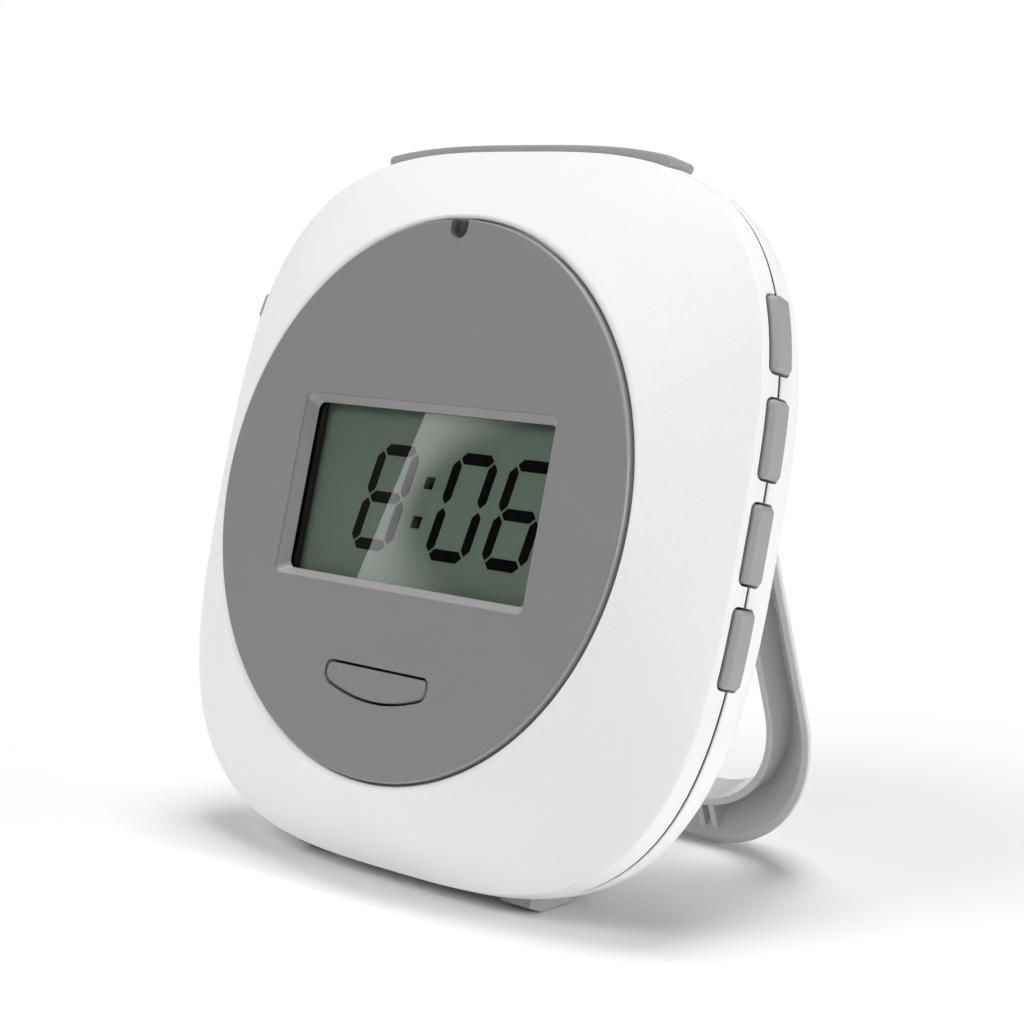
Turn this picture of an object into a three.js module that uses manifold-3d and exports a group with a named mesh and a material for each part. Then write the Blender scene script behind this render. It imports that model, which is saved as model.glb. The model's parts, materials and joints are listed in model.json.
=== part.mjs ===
// Vibrating alarm clock: a rounded-square case that leans back on two short feet and a fold-out loop stand.
// Millimetres, +Z up, origin on the floor under the middle of the clock's box.
// Case frame: X to the right, Y into the clock from the face panel's front, Z up the face.
import * as THREE from "three";
import { mergeVertices } from "three/addons/utils/BufferGeometryUtils.js";
import Module from "manifold-3d";

const wasm = await Module();
wasm.setup();

// Stance
const TILT = 15; // degrees that the face leans back
const STAND_OPEN = 32; // degrees from the case's back to the opened stand
const STAND_HINGE_HEIGHT = 9.3; // hinge axis above the panel's centre, up the back

// Facets
const OUTLINE_STEPS = 48; // round the case
const DOME_STEPS = 4;
const BACK_STEPS = 4;
const SNOOZE_STEPS = 12;
const CORNER_STEPS = 2; // small corners
const CURVE_STEPS = 5;
const STAND_STEPS = 9; // each lower corner of the stand
const MOTOR_STEPS = 8;
const ROUND_SIDES = 16;
const SMALL_SIDES = 10;
const COIL_STEPS = 22;
const LEAD_STEPS = 8;
const WIRE_STEPS = 3;

// Clearances
const GAP = 0.3; // between neighbouring pieces
const PRESS_SPARE = 0.1; // left between a pressed button and its switch

// Case
const BODY_HALF = 44.3; // half width at the parting line
const SQUARENESS = 3.25; // superellipse exponent of the outline, 2 is round
const TALLNESS = 1; // height of the outline over its width
const PARTING = 10.5; // depth of the line between the two shells
const WALL = 1.8;
const DOME_INSET = 1.35; // dome's inside, inwards and back, which leaves a wall of about 1.8
const RIM_DEPTH = 0.3; // the white dome starts this far behind the panel's front
const RIM_SLOPE = 31; // degrees that the dome slopes at the panel's rim
const EDGE_DEPTH = 7.55; // where the dome meets the side
const EDGE_INSET = 0.45; // dome's edge inside the parting line
const SIDE_ROUND = 1.4; // depth over which the dome's edge turns into the side

// Face panel
const PANEL_RADIUS = 33.7;
const PANEL_THICKNESS = 1.5;
const PANEL_CHAMFER = 0.35;
const NOTCH_WIDTH = 2.9;
const NOTCH_DEPTH = 2.3; // from the panel's rim inwards
const WINDOW_WIDTH = 42.9; // window at the panel's front
const WINDOW_HEIGHT = 22.9;
const WINDOW_BEVEL = 1; // how much smaller it is at the panel's back, each side
const WINDOW_CORNER = 0.6;

// Display stack
const SEAT_THICKNESS = 1.5; // front shell's floor behind the panel
const LENS_THICKNESS = 1;
const DISPLAY_MARGIN = 3.2; // lens and display reach this far past the window's inner edge
const LCD_THICKNESS = 2;
const ZEBRA_THICKNESS = 1.1;
const ZEBRA_WIDTH = 2;
const HOLDER_WALL = 3;

// Circuit board
const BOARD_THICKNESS = 1;
const BOARD_MARGIN = 5.2; // board's edge inside the case wall
const BOARD_LOWER_EDGE = -27.5;
const POST_Z = 13;
const POST_RADIUS = 2.4;
const CHIP_SIZE = 8;
const CHIP_THICKNESS = 1.6;
const CHIP_CLEARANCE = 4; // from the motor's turning weight
const CRYSTAL_RADIUS = 1;
const CRYSTAL_LENGTH = 6;
const BUZZER_RADIUS = 6.6;
const BUZZER_THICKNESS = 2.4;
const SOUND_HOLE_RADIUS = 1.1;

// Small switches behind the buttons
const SWITCH_WIDTH = 6;
const SWITCH_DEPTH = 3.6;
const PLUNGER_LENGTH = 0.6;
const PLUNGER_WIDTH = 2;
const STEM_LENGTH = 0.5;

// Test button, flat on top and bowed below
const TEST_WIDTH = 17.2;
const TEST_TOP = -0.616 * PANEL_RADIUS; // its flat edge below the panel's centre
const TEST_SIDE = 2; // height of its straight sides
const TEST_BOW = 1.7; // how far the bow drops below the sides
const TEST_CORNER = 0.8;
const TEST_TRAVEL = 0.4;
const FLANGE = 0.8; // thickness and reach of the flanges that keep buttons in

// Snooze bar
const SNOOZE_HALF_ANGLE = 29; // degrees each way from the top
const SNOOZE_WIDTH = 4.4;
const SNOOZE_PROUD = 0.75;
const SNOOZE_TRAVEL = 0.5;

// Side buttons on the right
const BUTTON_COUNT = 4;
const BUTTON_TOP = 0.54 * BODY_HALF; // height of the first one
const BUTTON_PITCH = 0.262 * BODY_HALF;
const BUTTON_LENGTH = 8.75;
const BUTTON_WIDTH = 3.2;
const BUTTON_CORNER = 0.6;
const BUTTON_PROUD = 0.7;
const BUTTON_BEVEL = 0.4;
const BUTTON_TRAVEL = 0.5;

// Slide knobs on the left
const KNOB_LENGTH = 3.4;
const KNOB_WIDTH = 2.8;
const KNOB_CORNER = 0.7;
const ALARM_HEIGHT = 0.476 * BODY_HALF;
const ALARM_TRAVEL = 4;
const ALARM_PROUD = 2.2;
const TIME_HEIGHT = -0.325 * BODY_HALF;
const TIME_TRAVEL = 2;
const TIME_PROUD = 1.4;
const KNOBS = [
  { name: "alarm", height: ALARM_HEIGHT, travel: ALARM_TRAVEL, proud: ALARM_PROUD, start: 1 },
  { name: "time", height: TIME_HEIGHT, travel: TIME_TRAVEL, proud: TIME_PROUD, start: -1 },
];
const FORK_BITE = 1.2; // length of the knob's fork inside its switch

// Batteries, their bay and its door
const CELL_DIAMETER = 10.5;
const CELL_LENGTH = 44.5;
const NUB_RADIUS = 1.9;
const NUB_LENGTH = 1;
const CELL_PITCH = 11.2;
const BAY_CENTRE = -11.6; // height of the middle between the cells
const BAY_WALL = 1;
const CONTACT_ROOM = 3; // past each end of a cell
const CONTACT_SIZE = 8.6;
const CONTACT_THICKNESS = 0.4;
const CONTACT_TONGUE = 2;
const WIRE_RADIUS = 0.3;
const SPRING_TURNS = 2.25;
const SPRING_WIDE = 3.1;
const SPRING_NARROW = 2;
const DOOR_THICKNESS = 1.3;
const DOOR_LEDGE = 2.3; // door past the bay's opening above and below
const DOOR_END_LEDGE = 1.35; // door past the bay's opening at each end
const THUMB_RADIUS = 5;

// Vibration motor
const MOTOR_RADIUS = 6;
const MOTOR_FLAT = 4.5; // its two flats from the axis
const MOTOR_LENGTH = 15;
const MOTOR_END = -17; // its far end
const MOTOR_HEIGHT = 20;
const MOTOR_NOSE = 1;
const MOTOR_NOSE_RADIUS = 2.2;
const SHAFT_RADIUS = 0.75;
const SHAFT_SEAT = 2;
const WEIGHT_RADIUS = 4.8;
const WEIGHT_LENGTH = 6;
const HUB_RADIUS = 2;
const SADDLE_WIDTH = 9;
const SADDLE_WALL = 4;
const CLAMP_THICKNESS = 0.5;
const STAKE_RADIUS = 0.8;
const LEAD_RADIUS = 0.5;
const LEAD_SPREAD = 2; // each lead from the motor's axis
const LEAD_REACH = 7; // from the motor to the board's pads

// Screws
const CASE_SCREWS = [
  { x: 0.7 * BODY_HALF, z: 0.655 * BODY_HALF },
  { x: 0.45 * BODY_HALF, z: -0.7 * BODY_HALF },
];
const SCREW_HEAD_RADIUS = 2.2;
const SCREW_HEAD_HEIGHT = 1.5;
const SCREW_CROWN = 0.7; // flat share of a head's radius
const SCREW_SHANK_RADIUS = 1;
const SCREW_SINK = 1.6; // head's top below the back
const SCREW_BITE = 4; // length in the front shell
const BOSS_WALL = 1.1;
const BOARD_SCREW_HEAD_RADIUS = 1.8;
const BOARD_SCREW_HEAD_HEIGHT = 1.2;
const BOARD_SCREW_SHANK_RADIUS = 0.8;
const BOARD_SCREW_BITE = 2.4;

// Stand
const STAND_HALF = 0.78 * BODY_HALF;
const STAND_CORNER = 21.3; // outer radius of its lower corners
const STAND_BAND = 6.4;
const STAND_THICKNESS = 5.6;
const STAND_WALL = 1;
const STAND_LIP = 0.6; // depth of its outer edge in front of the slanted skin
const STAND_BACK = 1.2; // width of its rear edge
const STAND_LAND = 1.6; // depth over which the floor trims its lower edge
const STAND_RIBS = [13.5, 15.5]; // from the stand's middle
const STAND_RIB_THICKNESS = 0.9;
const STAND_RIB_RECESS = 0.8; // behind the front rim
const STAND_SOLID_TOP = 7; // solid length below the hinge axis
const LUG_WIDTH = 4.4;
const PIN_RADIUS = 1.1;
const KNUCKLE_INSET = 2; // knuckle's end inside the stand's edge
const PIN_COVER = 1; // knuckle's skin over the pin's end

// Feet
const FOOT_HEIGHT = 0.72; // case above the floor where the foot's land starts
const FOOT_OUTER = 20.4;
const FOOT_WIDTH = 5;
const FOOT_FRONT = 11.4;
const FOOT_LAND = [13.5, 18.5]; // depths between which it stands on the floor
const FOOT_BACK = 20.6;
const FOOT_ROOT = 1.2; // how far it sinks into the shell

// Depths from the panel's front, each stacked on the one before
const seatFront = PANEL_THICKNESS + GAP;
const seatBack = seatFront + SEAT_THICKNESS;
const lensFront = PANEL_THICKNESS + GAP;
const lcdFront = lensFront + LENS_THICKNESS + GAP;
const lcdBack = lcdFront + LCD_THICKNESS;
const zebraFront = lcdBack + GAP;
const zebraBack = zebraFront + ZEBRA_THICKNESS;
const boardFront = zebraBack + GAP;
const boardBack = boardFront + BOARD_THICKNESS;
const bayFloor = boardBack + GAP + BAY_WALL;
const cellAxis = bayFloor + GAP + CELL_DIAMETER / 2;
const doorFront = cellAxis + CELL_DIAMETER / 2 + GAP;
const bodyDepth = doorFront + DOOR_THICKNESS;
const frontEnd = PARTING - GAP / 2;
const rearStart = PARTING + GAP / 2;
const rearInner = bodyDepth - WALL;

// Other shared places
const rimRadius = PANEL_RADIUS + GAP;
const edgeHalf = BODY_HALF - EDGE_INSET;
const bodyTop = BODY_HALF * TALLNESS;
const backRound = bodyDepth - rearStart;
const displayHalfX = WINDOW_WIDTH / 2 - WINDOW_BEVEL + DISPLAY_MARGIN;
const displayHalfZ = WINDOW_HEIGHT / 2 - WINDOW_BEVEL + DISPLAY_MARGIN;
const boardHalf = BODY_HALF - WALL - BOARD_MARGIN;
const flangeOuter = WALL + GAP; // below the case's surface
const flangeInner = flangeOuter + FLANGE;
const stemInner = flangeInner + STEM_LENGTH;
const sidePlunger = stemInner + BUTTON_TRAVEL + PRESS_SPARE;
const sideSwitchFace = sidePlunger + PLUNGER_LENGTH;
const bossRadius = SCREW_HEAD_RADIUS + GAP + BOSS_WALL;
const bayHalfX = CELL_LENGTH / 2 + CONTACT_ROOM;
const bayHalfZ = (CELL_PITCH + CELL_DIAMETER) / 2 + GAP;
const doorHalfX = bayHalfX + DOOR_END_LEDGE;
const besideHolder = displayHalfX + HOLDER_WALL + GAP + POST_RADIUS;
const besideBay = bayHalfX + BAY_WALL + GAP + BOARD_SCREW_HEAD_RADIUS;
const postX = Math.max(besideHolder, besideBay);
const doorHalfZ = bayHalfZ + DOOR_LEDGE;
const motorAxis = (boardBack + rearInner) / 2;
const motorFace = MOTOR_END + MOTOR_LENGTH;
const hingeDepth = bodyDepth + GAP + STAND_THICKNESS / 2;
const FAR = 2 * BODY_HALF; // long enough for a cut to run right through
const holeReach = BODY_HALF / 4; // a button's hole, each way from the case's surface

const radians = THREE.MathUtils.degToRad;
const tilt = radians(TILT);

// Solids: closed geometry in, manifold out, and back

function solid(geometry) {
  const bare = geometry.clone();
  bare.deleteAttribute("normal");
  bare.deleteAttribute("uv");
  const merged = mergeVertices(bare, 1e-5);
  const corners = [];
  for (let i = 0; i < merged.index.count; i += 3) {
    const [a, b, c] = merged.index.array.slice(i, i + 3);
    if (a !== b && b !== c && c !== a) corners.push(a, b, c);
  }
  const mesh = new wasm.Mesh({
    numProp: 3,
    vertProperties: merged.attributes.position.array,
    triVerts: new Uint32Array(corners),
  });
  return new wasm.Manifold(mesh);
}

function geometryOf(shape) {
  const mesh = shape.getMesh();
  const geometry = new THREE.BufferGeometry();
  geometry.setAttribute("position", new THREE.BufferAttribute(mesh.vertProperties, 3));
  geometry.setIndex(new THREE.BufferAttribute(mesh.triVerts, 1));
  geometry.computeVertexNormals();
  return geometry;
}

const join = (first, ...others) => others.reduce((sum, other) => sum.add(other), first);
const cut = (first, ...others) => others.reduce((rest, other) => rest.subtract(other), first);
const moved = (shape, matrix) => solid(geometryOf(shape).applyMatrix4(matrix));

// Basic shapes in the case frame

function block([x0, x1], [y0, y1], [z0, z1]) {
  const geometry = new THREE.BoxGeometry(x1 - x0, y1 - y0, z1 - z0);
  return solid(geometry.translate((x0 + x1) / 2, (y0 + y1) / 2, (z0 + z1) / 2));
}

function rodInward(radius, [y0, y1], x, z, sides = ROUND_SIDES) {
  const geometry = new THREE.CylinderGeometry(radius, radius, y1 - y0, sides);
  return solid(geometry.translate(x, (y0 + y1) / 2, z));
}

function rodAcross(radius, [x0, x1], y, z, sides = ROUND_SIDES) {
  const geometry = new THREE.CylinderGeometry(radius, radius, x1 - x0, sides);
  return solid(geometry.rotateZ(-Math.PI / 2).translate((x0 + x1) / 2, y, z));
}

// A flat outline drawn in X and Z, given depth from y0 to y1
function platePrism(outline, [y0, y1], curveSegments = CURVE_STEPS) {
  const options = { depth: y1 - y0, bevelEnabled: false, curveSegments };
  const geometry = new THREE.ExtrudeGeometry(outline, options);
  return solid(geometry.rotateX(Math.PI / 2).translate(0, y1, 0));
}

// A flat outline drawn in Y and Z, given length from x0 to x1
const ACROSS = new THREE.Matrix4().makeBasis(
  new THREE.Vector3(0, 1, 0),
  new THREE.Vector3(0, 0, 1),
  new THREE.Vector3(1, 0, 0),
);
function sidePrism(outline, [x0, x1], bevel = 0, curveSegments = CORNER_STEPS) {
  const geometry = new THREE.ExtrudeGeometry(outline, {
    depth: x1 - x0 - 2 * bevel,
    bevelEnabled: bevel > 0,
    bevelThickness: bevel,
    bevelSize: bevel,
    bevelOffset: -bevel,
    bevelSegments: 1,
    curveSegments,
  });
  return solid(geometry.applyMatrix4(ACROSS).translate(x0 + bevel, 0, 0));
}

function roundedRectangle(halfWidth, halfHeight, corner) {
  const outline = new THREE.Shape();
  const [x, z, r] = [halfWidth, halfHeight, corner];
  outline.absarc(x - r, z - r, r, 0, Math.PI / 2);
  outline.absarc(r - x, z - r, r, Math.PI / 2, Math.PI);
  outline.absarc(r - x, r - z, r, Math.PI, 1.5 * Math.PI);
  outline.absarc(x - r, r - z, r, 1.5 * Math.PI, 2 * Math.PI);
  return outline;
}

const polygon = (points) => new THREE.Shape(points.map(([a, b]) => new THREE.Vector2(a, b)));

// The case's outline and what follows it

const squareness = (x, z, n) => Math.pow(Math.abs(x) ** n + Math.abs(z) ** n, 1 / n);
// From 0 at the panel's rim to 1 at the case's edge
const widening = (radius) => THREE.MathUtils.clamp((radius - rimRadius) / (edgeHalf - rimRadius), 0, 1);
const tallAt = (share) => 1 - (1 - TALLNESS) * share;

// A profile of [radius, depth] turned round the depth axis, then squared off as it widens.
// inset is how far the profile lies inside the case's surface.
function turnedCase(profile, inset = 0) {
  const points = profile.map(([radius, depth]) => new THREE.Vector2(radius, depth));
  const geometry = new THREE.LatheGeometry(points, OUTLINE_STEPS);
  const place = geometry.attributes.position;
  for (let i = 0; i < place.count; i++) {
    const [x, z] = [place.getX(i), place.getZ(i)];
    const radius = Math.hypot(x, z);
    if (radius < GAP) continue;
    const share = widening(radius + inset);
    const n = 2 + (SQUARENESS - 2) * share;
    const scale = radius / squareness(x, z, n);
    place.setX(i, x * scale);
    place.setZ(i, z * scale * tallAt(share));
  }
  return solid(geometry);
}

function outlinePoint(half, angle) {
  const [x, z] = [Math.sin(angle), Math.cos(angle)];
  const radius = half / squareness(x, z, SQUARENESS);
  return [radius * x, radius * z * TALLNESS];
}

// A strip that follows the outline's top between two half widths
function topBand(outerHalf, innerHalf, halfAngle) {
  const share = (i) => (2 * i) / SNOOZE_STEPS - 1;
  const angles = Array.from({ length: SNOOZE_STEPS + 1 }, (_, i) => halfAngle * share(i));
  const outer = angles.map((angle) => outlinePoint(outerHalf, angle));
  const inner = angles.map((angle) => outlinePoint(innerHalf, angle));
  return polygon([...inner, ...outer.reverse()]);
}

// Where a side piece sits: on the outline at a height, turned so that its own X points out
function sideStation(height, side) {
  const rise = Math.abs(height) / TALLNESS;
  const x = Math.pow(BODY_HALF ** SQUARENESS - rise ** SQUARENESS, 1 / SQUARENESS);
  const lean = Math.atan2((Math.sign(height) * rise ** (SQUARENESS - 1)) / TALLNESS, x ** (SQUARENESS - 1));
  const station = new THREE.Group();
  station.position.set(side * x, PARTING, height);
  station.rotation.y = side > 0 ? -lean : Math.PI + lean;
  station.updateMatrix();
  return station;
}

const stations = {
  buttons: Array.from({ length: BUTTON_COUNT }, (_, i) => sideStation(BUTTON_TOP - i * BUTTON_PITCH, 1)),
  knobs: KNOBS.map((knob) => sideStation(knob.height, -1)),
};

// Pieces are collected in groups that lean as the real ones do

const clock = new THREE.Group();
const body = new THREE.Group();
body.rotation.x = -radians(TILT);
clock.add(body);

function add(name, shape, finish, parent = body) {
  const mesh = new THREE.Mesh(geometryOf(shape), finish);
  mesh.name = name;
  parent.add(mesh);
  return mesh;
}

const plastic = (color) => new THREE.MeshStandardMaterial({ color, roughness: 0.5, metalness: 0 });
const metal = (color) => new THREE.MeshStandardMaterial({ color, roughness: 0.35, metalness: 1 });
const white = plastic(0xf2f2f2);
const panelGrey = plastic(0x838383);
const buttonGrey = plastic(0x9c9c9c);
const standGrey = plastic(0xa8a8a8);
const black = plastic(0x1c1c1c);
const boardGreen = plastic(0x1f5b36);
const displayGreen = plastic(0x5a6a5c);
const clear = new THREE.MeshStandardMaterial({
  color: 0xffffff,
  roughness: 0.05,
  opacity: 0.3,
  transparent: true,
});
const steel = metal(0xb8bcc0);
const brass = metal(0xb99a52);

// Buttons and knobs: shapes in a station's frame, and the holes that they need

const buttonOutline = (grow) =>
  roundedRectangle(BUTTON_WIDTH / 2 + grow, BUTTON_LENGTH / 2 + grow, BUTTON_CORNER + grow);
const buttonFlange = (grow) => BUTTON_LENGTH / 2 + FLANGE + grow;

function sideButton() {
  const cap = sidePrism(buttonOutline(0), [-flangeInner, BUTTON_PROUD], BUTTON_BEVEL);
  const flange = block(
    [-flangeInner, -flangeOuter],
    [-BUTTON_WIDTH / 2, BUTTON_WIDTH / 2],
    [-buttonFlange(0), buttonFlange(0)],
  );
  const stemHalf = PLUNGER_WIDTH / 2;
  const stem = block([-stemInner, -flangeOuter], [-stemHalf, stemHalf], [-stemHalf, stemHalf]);
  return join(cap, flange, stem);
}

function sideButtonHole() {
  const slot = sidePrism(buttonOutline(GAP), [-holeReach, holeReach]);
  const pocket = block(
    [-holeReach, GAP - flangeOuter],
    [-BUTTON_WIDTH / 2 - GAP, BUTTON_WIDTH / 2 + GAP],
    [-buttonFlange(GAP), buttonFlange(GAP)],
  );
  return join(slot, pocket);
}

// A push switch: its plunger's tip at the origin, pressed along -X, standing on the board's back
function pushSwitch(onBoard) {
  const half = SWITCH_WIDTH / 2;
  const stemHalf = PLUNGER_WIDTH / 2;
  const housing = block([-PLUNGER_LENGTH - SWITCH_DEPTH, -PLUNGER_LENGTH], onBoard, [-half, half]);
  const middle = (onBoard[0] + onBoard[1]) / 2;
  const plunger = block(
    [-PLUNGER_LENGTH - GAP, 0],
    [middle - stemHalf, middle + stemHalf],
    [-stemHalf, stemHalf],
  );
  return join(housing, plunger);
}

const knobTravelHalf = (knob) => (KNOB_LENGTH + knob.travel) / 2;

function slideKnob(knob) {
  const cap = sidePrism(
    roundedRectangle(KNOB_WIDTH / 2, KNOB_LENGTH / 2, KNOB_CORNER),
    [-flangeInner, knob.proud],
    BUTTON_BEVEL,
  );
  const reach = knobTravelHalf(knob) + knob.travel / 2 + FLANGE;
  const flange = block([-flangeInner, -flangeOuter], [-KNOB_WIDTH / 2, KNOB_WIDTH / 2], [-reach, reach]);
  const forkHalf = PLUNGER_WIDTH / 2;
  const fork = block(
    [-sideSwitchFace - FORK_BITE, -flangeOuter],
    [-forkHalf, forkHalf],
    [-forkHalf, forkHalf],
  );
  return join(cap, flange, fork);
}

function slideKnobHole(knob) {
  const slotHalf = knobTravelHalf(knob) + GAP;
  const slot = sidePrism(
    roundedRectangle(KNOB_WIDTH / 2 + GAP, slotHalf, KNOB_CORNER + GAP),
    [-holeReach, holeReach],
  );
  const reach = knobTravelHalf(knob) + knob.travel + FLANGE + GAP;
  const pocket = block(
    [-holeReach, GAP - flangeOuter],
    [-KNOB_WIDTH / 2 - GAP, KNOB_WIDTH / 2 + GAP],
    [-reach, reach],
  );
  return join(slot, pocket);
}

// A slide switch on the board's back, slotted for the knob's fork
function slideSwitch(knob, onBoard) {
  const front = -sideSwitchFace;
  const slotHalf = (PLUNGER_WIDTH + knob.travel) / 2 + GAP;
  const half = slotHalf + BAY_WALL;
  const housing = block([front - SWITCH_DEPTH, front], onBoard, [-half, half]);
  const forkHalf = PLUNGER_WIDTH / 2 + GAP;
  const slot = block([front - FORK_BITE - GAP, front + GAP], [-forkHalf, forkHalf], [-slotHalf, slotHalf]);
  return cut(housing, slot);
}

const switchOnBoard = [boardBack + GAP - PARTING, boardBack + GAP + SWITCH_DEPTH - PARTING];

const sideHoles = [
  ...stations.buttons.map((station) => moved(sideButtonHole(), station.matrix)),
  ...stations.knobs.map((station, i) => moved(slideKnobHole(KNOBS[i]), station.matrix)),
];

// Snooze bar over the parting line, with end flanges under the shells and a stem to its switch

const snoozeHalfAngle = radians(SNOOZE_HALF_ANGLE);
const flangeAngle = FLANGE / BODY_HALF;
const gapAngle = GAP / BODY_HALF;
const snoozeReach = [PARTING - SNOOZE_WIDTH / 2, PARTING + SNOOZE_WIDTH / 2];
const snoozeSlotReach = [snoozeReach[0] - GAP, snoozeReach[1] + GAP];

function snoozeBar() {
  const cap = platePrism(
    topBand(BODY_HALF + SNOOZE_PROUD, BODY_HALF - flangeInner, snoozeHalfAngle),
    snoozeReach,
  );
  const flange = platePrism(
    topBand(BODY_HALF - flangeOuter, BODY_HALF - flangeInner, snoozeHalfAngle + flangeAngle),
    snoozeReach,
  );
  const stemHalf = PLUNGER_WIDTH / 2;
  const stem = block(
    [-stemHalf, stemHalf],
    [PARTING - stemHalf, PARTING + stemHalf],
    [bodyTop - stemInner, bodyTop - flangeOuter],
  );
  return join(cap, flange, stem);
}

function snoozeHole() {
  const slot = platePrism(
    topBand(BODY_HALF + holeReach, BODY_HALF - holeReach, snoozeHalfAngle + gapAngle),
    snoozeSlotReach,
  );
  const pocket = platePrism(
    topBand(BODY_HALF - flangeOuter + GAP, BODY_HALF - holeReach, snoozeHalfAngle + flangeAngle + gapAngle),
    snoozeSlotReach,
  );
  return join(slot, pocket);
}

// Test button outline, grown by a clearance or a flange

function testOutline(grow) {
  const half = TEST_WIDTH / 2 + grow;
  const top = TEST_TOP + grow;
  const side = TEST_TOP - TEST_SIDE - grow;
  const low = side - TEST_BOW;
  const corner = TEST_CORNER + grow;
  const outline = new THREE.Shape();
  outline.moveTo(half - corner, top);
  outline.lineTo(corner - half, top);
  outline.quadraticCurveTo(-half, top, -half, top - corner);
  outline.quadraticCurveTo(-half, side, corner - half, side);
  outline.quadraticCurveTo(0, 2 * low - side, half - corner, side);
  outline.quadraticCurveTo(half, side, half, top - corner);
  outline.quadraticCurveTo(half, top, half - corner, top);
  return outline;
}

const testMiddle = TEST_TOP - (TEST_SIDE + TEST_BOW) / 2;
const testFlangeBack = seatFront + FLANGE;
const testStemBack = testFlangeBack + STEM_LENGTH;
const testSwitchFront = testStemBack + TEST_TRAVEL + PRESS_SPARE;

// Face panel with its bevelled window, button hole and notch

function bevelledWindow() {
  const outline = roundedRectangle(WINDOW_WIDTH / 2, WINDOW_HEIGHT / 2, WINDOW_CORNER);
  const geometry = geometryOf(platePrism(outline, [-PANEL_THICKNESS, 2 * PANEL_THICKNESS], CORNER_STEPS));
  const place = geometry.attributes.position;
  for (let i = 0; i < place.count; i++) {
    const shrink = (WINDOW_BEVEL * place.getY(i)) / PANEL_THICKNESS;
    place.setX(i, place.getX(i) - Math.sign(place.getX(i)) * shrink);
    place.setZ(i, place.getZ(i) - Math.sign(place.getZ(i)) * shrink);
  }
  return solid(geometry);
}

function notchHole(reach) {
  const low = PANEL_RADIUS - NOTCH_DEPTH + NOTCH_WIDTH / 2;
  const half = NOTCH_WIDTH / 2;
  return join(
    rodInward(half, reach, 0, low),
    block([-half, half], reach, [low, PANEL_RADIUS + NOTCH_DEPTH]),
  );
}

function facePanel() {
  const r = PANEL_RADIUS;
  const profile = [
    [0, 0],
    [r - PANEL_CHAMFER, 0],
    [r, PANEL_CHAMFER],
    [r, PANEL_THICKNESS],
    [0, PANEL_THICKNESS],
  ];
  const through = [-PANEL_THICKNESS, 2 * PANEL_THICKNESS];
  return cut(
    turnedRound(profile, OUTLINE_STEPS),
    bevelledWindow(),
    platePrism(testOutline(GAP), through),
    notchHole(through),
  );
}

function turnedRound(profile, sides) {
  const points = profile.map(([radius, depth]) => new THREE.Vector2(radius, depth));
  return solid(new THREE.LatheGeometry(points, sides));
}

// Front shell: domed ring, floor behind the panel, bosses and posts

function domeProfile() {
  const [run, drop] = [edgeHalf - rimRadius, EDGE_DEPTH - RIM_DEPTH];
  const start = radians(RIM_SLOPE);
  const end = 2 * Math.atan2(drop, run) - start;
  const radius = run / (Math.sin(end) - Math.sin(start));
  const points = [];
  for (let i = 0; i <= DOME_STEPS; i++) {
    const slope = start + ((end - start) * i) / DOME_STEPS;
    points.push([
      rimRadius + radius * (Math.sin(slope) - Math.sin(start)),
      RIM_DEPTH + radius * (Math.cos(start) - Math.cos(slope)),
    ]);
  }
  const sideHalf = BODY_HALF - EDGE_INSET / 4;
  points.push([BODY_HALF - EDGE_INSET / 2, EDGE_DEPTH + SIDE_ROUND / 3]);
  points.push([sideHalf, EDGE_DEPTH + SIDE_ROUND]);
  return points;
}

const inward = (profile) => profile.map(([radius, depth]) => [radius - DOME_INSET, depth + DOME_INSET]);

const caseScrewPlaces = CASE_SCREWS.flatMap(({ x, z }) => [
  [-x, z],
  [x, z],
]);
const postPlaces = [
  [-postX, POST_Z],
  [postX, POST_Z],
  [-postX, -POST_Z],
  [postX, -POST_Z],
];

function frontShell() {
  const dome = domeProfile();
  const outer = turnedCase([[0, RIM_DEPTH], ...dome, [BODY_HALF, frontEnd], [0, frontEnd]]);
  const hollow = turnedCase(
    [[0, RIM_DEPTH + WALL], ...inward(dome), [BODY_HALF - WALL, frontEnd + WALL], [0, frontEnd + WALL]],
    WALL,
  );
  const floorDisc = rodInward(BODY_HALF, [-WALL, seatBack], 0, 0, OUTLINE_STEPS);
  const bosses = caseScrewPlaces.map(([x, z]) => rodInward(bossRadius, [0, frontEnd], x, z));
  const posts = postPlaces.map(([x, z]) => rodInward(POST_RADIUS, [0, boardFront - GAP], x, z));
  const through = [-WALL, FAR];
  const pilots = caseScrewPlaces.map(([x, z]) =>
    rodInward(SCREW_SHANK_RADIUS + GAP, [frontEnd - SCREW_BITE - GAP, FAR], x, z, SMALL_SIDES),
  );
  const postHoleEnd = boardFront - BOARD_SCREW_BITE - GAP;
  const postHoles = postPlaces.map(([x, z]) =>
    rodInward(BOARD_SCREW_SHANK_RADIUS + GAP, [postHoleEnd, FAR], x, z, SMALL_SIDES),
  );
  const displayHole = block(
    [-displayHalfX - GAP, displayHalfX + GAP],
    through,
    [-displayHalfZ - GAP, displayHalfZ + GAP],
  );
  return cut(
    outer,
    cut(hollow, floorDisc, ...bosses, ...posts),
    rodInward(rimRadius, [-WALL, seatFront], 0, 0, OUTLINE_STEPS),
    displayHole,
    platePrism(testOutline(FLANGE + GAP), through),
    rodInward(SOUND_HOLE_RADIUS, through, 0, PANEL_RADIUS - NOTCH_DEPTH + NOTCH_WIDTH / 2, SMALL_SIDES),
    ...pilots,
    ...postHoles,
    ...sideHoles,
    snoozeHole(),
  );
}

// Rear shell: rounded back, battery bay, motor saddle, stand lugs and sockets for the feet

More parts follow.
